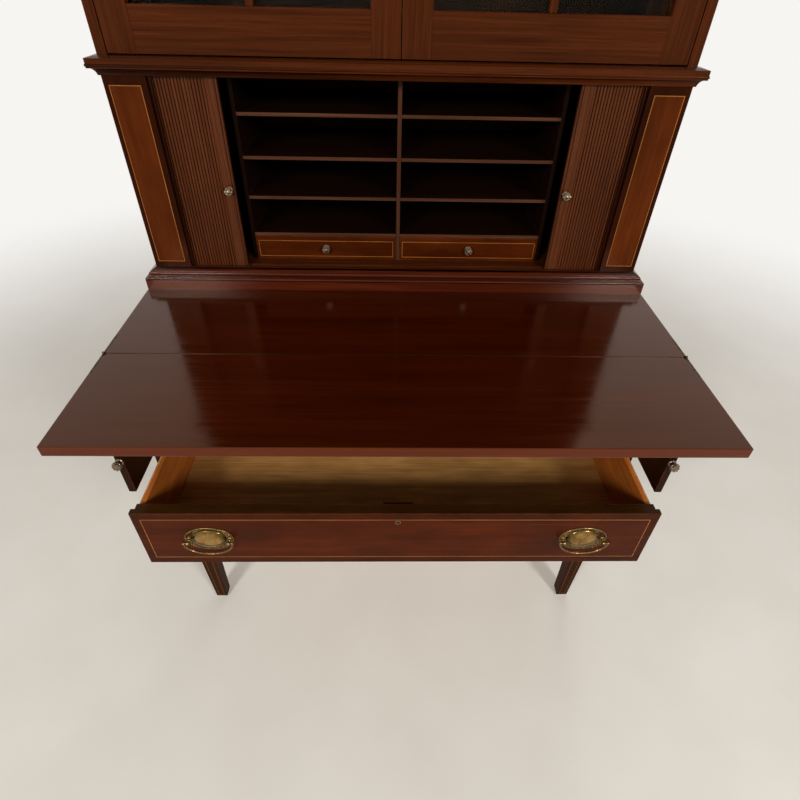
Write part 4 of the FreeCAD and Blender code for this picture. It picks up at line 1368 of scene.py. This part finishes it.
@dataclass
class DeskTop(Assembly):
    """The fixed top, the leaf that folds over it, and the brass straps at their ends.

    Args:
        aged_depth: how far down the painted shade on the upper face reaches.
        joint_half: half the width of the dark line where the two boards meet.
        edge_start: how far before the hinge and below the upper face the paler edges of the leaf start.
        screw_places: how far from the hinge the screws of the straps sit.
        screw_sink: how far they are sunk into the ends.
    """

    half_width: float = 470.0
    height: float = 763.0
    hinge_y: float = -135.0
    aged_depth: float = 0.4
    joint_half: float = 1.3
    edge_start: Span = (5.0, 0.5)
    strap_z: float = 758.3
    screw_places: Span = (16.0, 40.0)
    screw_sink: float = 0.2

    def dress(self) -> None:
        """Give the boards and straps their finishes."""
        before, below = self.edge_start
        zones = (
            # Painted shade: the upper face is tinted darker than the edges
            Zone(TOP_FACE_SHADE, z=(self.height - self.aged_depth, FAR)),
            # Painted shade along the joint of the two boards
            Zone(GROOVE, y=(self.hinge_y - self.joint_half, self.hinge_y + self.joint_half)),
            Zone(EDGE, y=(-FAR, self.hinge_y - before), z=(0, self.height - below)),
        )
        for node in ("writing_leaf", "fixed_top"):
            self.shop.wood(node, TOP_MAHOGANY, Grain.ALONG_X, zones=zones, worn=False, edge=1.0)
        for node in ("leaf_straps_fixed", "leaf_straps_moving"):
            self.shop.coat(node, self.shop.strap_brass)

    def build(self) -> None:
        """Put two screws in each half of each strap."""
        across = self.half_width - self.screw_sink
        for body, way in (("carcass", 1), ("leaf", -1)):
            heads = []
            for side in Side:
                for place in self.screw_places:
                    at = (side.value * across, self.hinge_y + way * place, self.strap_z)
                    turn = side.value * QUARTER
                    heads.append(copy_to(self.shop.patterns["screw"], "strap_screw", at, turn))
            self.shop.lay_on(join(f"{body}_strap_screws", heads), body, "brass", self.shop.strap_brass)


@dataclass
class LowerCase(Assembly):
    """The legs, rails, panels, dust board and runners, with stringing on the front legs.

    Args:
        foot_shift: how far nearer the middle plane the foot's middle lies than the post's.
        string_share: how much of a leg's width lies inside the stringing.
        post_gaps: how far the post's stringing ends above the case's bottom and below the top.
        taper_gaps: how far the taper's stringing ends above the floor and below the case's bottom.
    """

    leg_x: float = 438.0
    leg_front: float = -122.0
    post_half: float = 21.5
    foot_half: float = 13.0
    foot_shift: float = 7.0
    case_bottom: float = 436.0
    top_under: float = 746.0
    glide: float = 4.0
    string_share: float = 0.5
    post_gaps: Span = (12.0, 10.0)
    taper_gaps: Span = (9.0, 8.0)
    line: float = 0.75
    glide_profile: Profile = ((12.4, 0.0), (12.4, 1.4), (11.8, 2.6), (9.5, 3.6), (6.0, 4.0), (0.5, 4.0))

    def dress(self) -> None:
        """Give the solids of the lower case their finishes."""
        wood = self.shop.wood
        # The legs' darker wood is painted shade under the drawers
        for node in ("front_legs", "back_legs"):
            wood(node, LEG_MAHOGANY, Grain.ALONG_Z, pair=True)
        wood("front_rails", CASE_MAHOGANY, Grain.ALONG_X)
        wood("case_side_panels", CASE_MAHOGANY, Grain.ALONG_Y, pair=True, worn=False)
        wood("loper_partitions", BARE, Grain.ALONG_Y, worn=False)
        wood("case_back_panel", BARE, Grain.ALONG_X, worn=False)
        wood("dust_board", BARE, Grain.ALONG_X, worn=False)
        wood("drawer_runners", BARE, Grain.ALONG_Y, worn=False)

    def _glides(self) -> None:
        """Put a domed glide under each foot."""
        glide = close_up(turned("glide_pattern", self.glide_profile, sides=32), angle=40)
        glide.data.transform(Matrix.Rotation(QUARTER, 4, "X"))
        low, high = box_mm("foot_glides")
        across = self.leg_x - self.foot_shift
        inset = high.x - across
        spots = []
        for side in Side:
            for depth in (low.y + inset, high.y - inset):
                spots.append(copy_to(glide, "glide", (side.value * across, depth, high.z)))
        discard(glide)
        self.shop.lay_on(join("domed_glides", spots), "carcass", "glide", self.shop.steel, "foot_glides")

    def build(self) -> None:
        """Put the glides on, and lay a panel of stringing on each front post and a tapered one below it."""
        self._glides()
        reach = self.post_half * self.string_share
        for side in Side:
            middle = side.value * self.leg_x
            left, right = middle - reach, middle + reach
            post = (left, self.case_bottom + self.post_gaps[0], right, self.top_under - self.post_gaps[1])
            panel = string_frame(f"leg_post_stringing_{side.word}", post, self.leg_front, self.line)
            self.shop.string(panel, "carcass", Grain.ALONG_Z)
            bottom, top = self.taper_gaps[0], self.case_bottom - self.taper_gaps[1]
            name = f"leg_taper_stringing_{side.word}"
            taper = string_frame(name, (left, bottom, right, top), self.leg_front, self.line)
            for height in (bottom, top):
                pick(taper, lambda at: abs(at.z - height * MM) < 2 * self.line * MM, Element.POINTS)
                drop = 1 - (height - self.glide) / (self.case_bottom - self.glide)
                inward = (self.post_half - self.foot_half) * drop
                pivot = (middle * MM, 0, height * MM)
                bpy.ops.transform.resize(value=(1 - inward / self.post_half, 1, 1), center_override=pivot)
                bpy.ops.transform.translate(value=(-side.value * self.foot_shift * drop * MM, inward * MM, 0))
            self.shop.string(taper, "carcass", Grain.ALONG_Z)


@dataclass
class Loper(Assembly):
    """A pull-out slide that carries the leaf, with a small knob."""

    side: Side
    knob_x: float = 410.0
    knob_z: float = 679.5

    def dress(self) -> None:
        """Give the loper its wood."""
        # Painted shade: the whole loper is tinted darker, for the shade under the leaf
        self.shop.wood(f"loper_{self.side.word}", CASE_MAHOGANY, Grain.ALONG_Y, zones=(Zone(SHADED),))

    def build(self) -> None:
        """Put the knob on."""
        word = self.side.word
        at = (self.side.value * self.knob_x, box_mm(f"loper_{word}")[0].y, self.knob_z)
        self.shop.fit_knob(f"loper_rosette_{word}", at, f"loper_{word}", f"loper_knob_{word}")


@dataclass
class UpperCase(Assembly):
    """Sides, pilasters, boards and mouldings of the upper case.

    Args:
        pilaster: where the flat of a pilaster starts, outside its bead.
        string_x: the limits of a pilaster's stringing across.
        string_z: its limits in height.
        back_face: how far before the back the face of the back boards that is tinted almost black as painted
            shade starts and ends.
        return_start: how far before the front the mouldings' returns start.
        plinth_quirks: the limits of the plinth's bands of painted shade, above its foot: fine grooves, steps
            under its ledges and its top under the tambour.
    """

    outer: float = 451.0
    front: float = 95.0
    back: float = 345.0
    pilaster: float = 385.4
    bead: Span = (379.7, 382.9)
    string_x: Span = (395.0, 443.5)
    string_z: Span = (810.5, 1097.0)
    back_face: Span = (8.0, 2.0)
    return_start: float = 8.0
    plinth_z: float = 763.0
    plinth_quirks: Profile = ((17.4, 18.3), (22.3, 23.2), (23.6, 24.9), (34.6, 37.0))

    def dress(self) -> None:
        """Give the solids of the upper case their finishes."""
        wood = self.shop.wood
        wood("upper_sides", CASE_MAHOGANY, Grain.ALONG_Z, pair=True)
        inner, outer = self.string_x
        bottom, top = self.string_z
        zones = (
            Zone(MARGIN, (self.pilaster, inner), z=self.string_z),
            Zone(MARGIN, (outer, FAR), z=self.string_z),
            Zone(MARGIN, (self.pilaster, FAR), z=(0, bottom)),
            Zone(MARGIN, (self.pilaster, FAR), z=(top, FAR)),
            # Painted shade: the reveals beside each pilaster's bead are tinted dark, and the bead darker than
            # the flat
            Zone(GROOVE, (0, self.bead[0])),
            Zone(GROOVE, (self.bead[1], self.pilaster)),
            Zone(SHADED, self.bead),
        )
        wood("pilasters", VENEER, Grain.ALONG_Z, zones=zones, pair=True, edge=0.5)
        wood("tambour_floor", CASE_MAHOGANY, Grain.ALONG_X, worn=False)
        wood("waist_board", CASE_MAHOGANY, Grain.ALONG_X, worn=False)
        # Painted shade: the inner face of the back boards is tinted almost black
        inner_face = Zone(RECESS_SHADE, y=(self.back - self.back_face[0], self.back - self.back_face[1]))
        wood("back_boards", BARE, Grain.ALONG_Z, zones=(inner_face,), worn=False)
        returns = Zone(x=(self.outer, FAR), y=(self.front - self.return_start, FAR), crossed=True)
        foot = self.plinth_z
        # Painted shade in the plinth's fine grooves and steps, and on its top under the tambour
        shade_bands = [Zone(QUIRK, z=(foot + begin, foot + end)) for begin, end in self.plinth_quirks]
        mouldings = (
            ("plinth_moulding", PLINTH_MAHOGANY, (*shade_bands, returns)),
            ("waist_moulding", CASE_MAHOGANY, (returns,)),
            ("cornice", CASE_MAHOGANY, (returns,)),
        )
        for node, finish, zones in mouldings:
            wood(node, finish, Grain.ALONG_X, Grain.ALONG_Y, zones, worn=False, edge=0.35)

    def build(self) -> None:
        """Lay the stringing on the pilasters."""
        bottom, top = self.string_z
        for side in Side:
            left, right = sorted(side.value * place for place in self.string_x)
            frame = string_frame(f"pilaster_stringing_{side.word}", (left, bottom, right, top), self.front)
            self.shop.string(frame, "carcass", Grain.ALONG_Z)


@dataclass
class TambourDoor(Assembly):
    """A sliding door of reeded slats behind a stile with a bead and a knob.

    Args:
        reed: how far behind the stile's face the grooves between the reeds start.
        bead_sink: how far the bead is let into the stile.
        quirk: the limits of the dark line beside the bead, from the bead's edge.
    """

    side: Side
    knob_x: float = 291.0
    knob_z: float = 940.0
    stile_front: float = 101.8
    reed: float = 2.6
    bead_x: float = 282.8
    bead_radius: float = 1.6
    bead_sink: float = 0.5
    bead_z: Span = (800.5, 1116.0)
    quirk: Span = (-0.2, 1.7)

    def dress(self) -> None:
        """Give the three runs of slats their wood."""
        # Painted shade: the grooves between the reeds, and the line beside the bead, are tinted dark
        grooves = Zone(GROOVE, y=(self.stile_front + self.reed, FAR))
        begin, end = (self.bead_x + self.bead_radius + limit for limit in self.quirk)
        for run, zones in (("lead", (grooves, Zone(QUIRK, (begin, end)))), ("side", ()), ("tail", ())):
            node = f"tambour_{self.side.word}_{run}"
            self.shop.wood(node, SLAT_MAHOGANY, Grain.ALONG_Z, zones=zones, worn=False, edge=0)

    def build(self) -> None:
        """Put the bead and the knob on the stile."""
        word, way = self.side.word, self.side.value
        bottom, top = self.bead_z
        middle = Vector((way * self.bead_x, self.stile_front, (bottom + top) / 2)) * MM
        piece = start(
            f"stile_bead_{word}", bpy.ops.mesh.primitive_cylinder_add, vertices=16,
            radius=self.bead_radius * MM, depth=(top - bottom) * MM, location=middle,
        )
        cut = (0, (self.stile_front + self.bead_sink) * MM, 0)
        bpy.ops.mesh.bisect(plane_co=cut, plane_no=(0, 1, 0), clear_outer=True, use_fill=True)
        body = f"tambour_{word}_lead"
        self.shop.lay_board(close_up(piece, angle=40), body, "mahogany", SLAT_MAHOGANY, Grain.ALONG_Z)
        at = (way * self.knob_x, self.stile_front, self.knob_z)
        self.shop.fit_knob(f"tambour_rosette_{word}", at, body, f"tambour_{word}_knob")


@dataclass
class LetterFittings(Assembly):
    """Partitions, shelves and two small drawers behind the tambours.

    Args:
        string_ends: how far a drawer's stringing lies inside the ends of its front.
        string_rails: how far it lies above the lower edge and below the upper one.
        line: the string's width.
        edge: how deep the paler front edges are.
    """

    string_ends: float = 4.5
    string_rails: Span = (5.7, 9.0)
    line: float = 0.95
    front: float = 133.5
    half_width: float = 268.0
    edge: float = 1.5

    def dress(self) -> None:
        """Give the fittings and the small drawers their woods."""
        wood = self.shop.wood
        wall = self.half_width - SKIN
        # Painted shade: what lies behind the fittings' front edges is tinted almost black
        inside = Zone(RECESS_SHADE, (0, wall), (self.front + self.edge, FAR))
        walls = Zone(RECESS_SHADE, (wall, FAR), (self.front - SKIN, FAR))
        wood("letter_partitions", STAINED, Grain.ALONG_Z, zones=(inside, walls), worn=False)
        wood("letter_shelves", STAINED, Grain.ALONG_X, zones=(inside,), worn=False)
        for side in Side:
            drawer = f"small_drawer_{side.word}"
            # Painted shade: the small drawer fronts are tinted darker
            wood(f"{drawer}_front", VENEER, Grain.ALONG_X, zones=(Zone(SMALL_FRONT_SHADE),), edge=0.5)
            wood(f"{drawer}_box", DRAWER_WOOD, Grain.ALONG_Y, worn=False, edge=0.4)

    def build(self) -> None:
        """Lay the small drawers' stringing and put their knobs on."""
        ends = self.string_ends
        below, above = self.string_rails
        for side in Side:
            drawer = f"small_drawer_{side.word}"
            low, high = box_mm(f"{drawer}_front")
            corners = (low.x + ends, low.z + below, high.x - ends, high.z - above)
            self.shop.string(string_frame(f"{drawer}_stringing", corners, low.y, self.line), drawer)
            at = ((low.x + high.x) / 2, low.y, (low.z + high.z) / 2)
            self.shop.fit_knob(f"{drawer}_rosette", at, drawer, f"{drawer}_knob")


@dataclass
class Bookcase(Assembly):
    """Shelves, top board and a pair of glazed doors.

    Args:
        stile: where a door's stile at the middle ends.
        hinge_stile: the limits of its stile at the hinges.
        light_z: the limits of its glazed opening in height.
        bar_half: half the width of its upright glazing bar.
        knob: where the right door's knob sits.
    """

    stile: float = 44.75
    hinge_stile: Span = (390.0, 435.0)
    light_z: Span = (1197.0, 1831.0)
    bar_half: float = 6.0
    knob: Triple = (22.75, 101.5, 1434.6)

    def dress(self) -> None:
        """Give the bookcase's solids their finishes."""
        shop = self.shop
        shop.wood("bookcase_top_board", CASE_MAHOGANY, Grain.ALONG_X, worn=False)
        shop.wood("bookcase_shelves", CASE_MAHOGANY, Grain.ALONG_X)
        shop.coat("door_hinges_fixed", shop.brass)
        middle = (self.stile + self.hinge_stile[0]) / 2
        uprights = (
            Zone(x=(0, self.stile), crossed=True),
            Zone(x=self.hinge_stile, crossed=True),
            Zone(x=(middle - self.bar_half, middle + self.bar_half), z=self.light_z, crossed=True),
        )
        for side in Side:
            door = f"door_{side.word}"
            shop.wood(f"{door}_frame", CASE_MAHOGANY, Grain.ALONG_X, Grain.ALONG_Z, uprights, edge=0.8)
            shop.coat(f"{door}_glass", shop.glass)
            shop.coat(f"{door}_brasses", shop.brass)

    def build(self) -> None:
        """Put a rosette over each door's knob."""
        x, y, z = self.knob
        for side in Side:
            self.shop.fit_knob(f"door_rosette_{side.word}", (side.value * x, y, z), f"door_{side.word}")


# Studio


@dataclass(frozen=True)
class Lamp:
    """A square soft lamp. Its place and size are in metres, and its power in watts."""

    name: str
    place: Triple
    size: float
    power: float


@dataclass
class Studio:
    """The floor, lamps, world and camera. Angles are in degrees, and the lamps' aim in metres."""

    camera_at: Triple = (-18.9, -843.7, 1263.4)
    pitch: float = 39.958
    yaw: float = 1.832
    roll: float = -1.478
    focal_share: float = 537.84 / 800
    sensor: float = 36.0
    nearest: float = 10.0
    floor_size: float = 60000.0
    lamps: tuple[Lamp, ...] = (
        Lamp("left_lamp", (-1.6, -2.9, 2.32), 0.6, 61.0),
        Lamp("right_lamp", (1.8, -2.8, 2.28), 0.6, 61.0),
        Lamp("back_lamp", (0.6, 3.2, 3.0), 2.4, 40.0),
    )
    aim: Triple = (0.0, 0.05, 0.85)
    light: str = "#fbf8f3"
    ambient: float = 0.36
    backdrop: str = "#fdfcfa"

    def camera(self) -> None:
        """Place the camera where the photograph was taken."""
        pitch, yaw, roll = (math.radians(angle) for angle in (self.pitch, self.yaw, self.roll))
        ahead = Vector((math.sin(yaw) * math.cos(pitch), math.cos(yaw) * math.cos(pitch), -math.sin(pitch)))
        level = Vector((math.cos(yaw), -math.sin(yaw), 0))
        below = ahead.cross(level)
        right = math.cos(roll) * level + math.sin(roll) * below
        down = math.cos(roll) * below - math.sin(roll) * level
        turn = Matrix((right, -down, -ahead)).transposed()
        bpy.ops.object.camera_add(location=Vector(self.camera_at) * MM, rotation=turn.to_euler())
        camera = bpy.context.object
        camera.name = "photograph_camera"
        camera.data.sensor_width = self.sensor
        camera.data.lens = self.focal_share * self.sensor
        camera.data.clip_start = self.nearest * MM
        bpy.context.scene.camera = camera

    def floor(self) -> None:
        """Lay the pale floor."""
        floor = start("studio_floor", bpy.ops.mesh.primitive_plane_add, size=self.floor_size * MM)
        bpy.ops.mesh.subdivide(number_cuts=9)
        close_up(floor)
        floor.data.materials.append(StudioFloor().material())

    def lights(self) -> None:
        """Hang three soft lamps and set the world round them."""
        for lamp in self.lamps:
            facing = (Vector(self.aim) - Vector(lamp.place)).to_track_quat("-Z", "Y").to_euler()
            bpy.ops.object.light_add(type="AREA", location=lamp.place, rotation=facing)
            hung = bpy.context.object
            hung.name = lamp.name
            hung.data.size = lamp.size
            hung.data.energy = lamp.power
        world = bpy.data.worlds.new("white_studio")
        bpy.context.scene.world = world
        world.use_nodes = True
        world.node_tree.nodes.clear()
        add = partial(add_node, world.node_tree)
        soft = add("Background", {"Color": linear(self.light), "Strength": self.ambient})
        white = add("Background", {"Color": linear(self.backdrop), "Strength": 1.0})
        add("OutputWorld", {"Surface": add("MixShader", {0: seen_rays(add), 1: soft, 2: white})})
        bpy.context.scene.view_settings.view_transform = "Standard"


def main() -> None:
    """Load the solids, dress them, build the new pieces and set up the studio."""
    logging.basicConfig(level=logging.INFO, format="%(message)s")
    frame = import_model()
    clear_bench()
    shop = Shop(frame)
    studio = Studio()
    studio.camera()
    studio.floor()
    studio.lights()
    shop.make_patterns()
    assemblies = (
        DeskTop(shop),
        *(LongDrawer(shop, tier) for tier in Tier),
        LowerCase(shop),
        UpperCase(shop),
        *(Loper(shop, side) for side in Side),
        *(TambourDoor(shop, side) for side in Side),
        LetterFittings(shop),
        Bookcase(shop),
    )
    for assembly in assemblies:
        assembly.dress()
        assembly.build()
    for pattern in shop.patterns.values():
        discard(pattern)


if __name__ == "__main__":
    main()
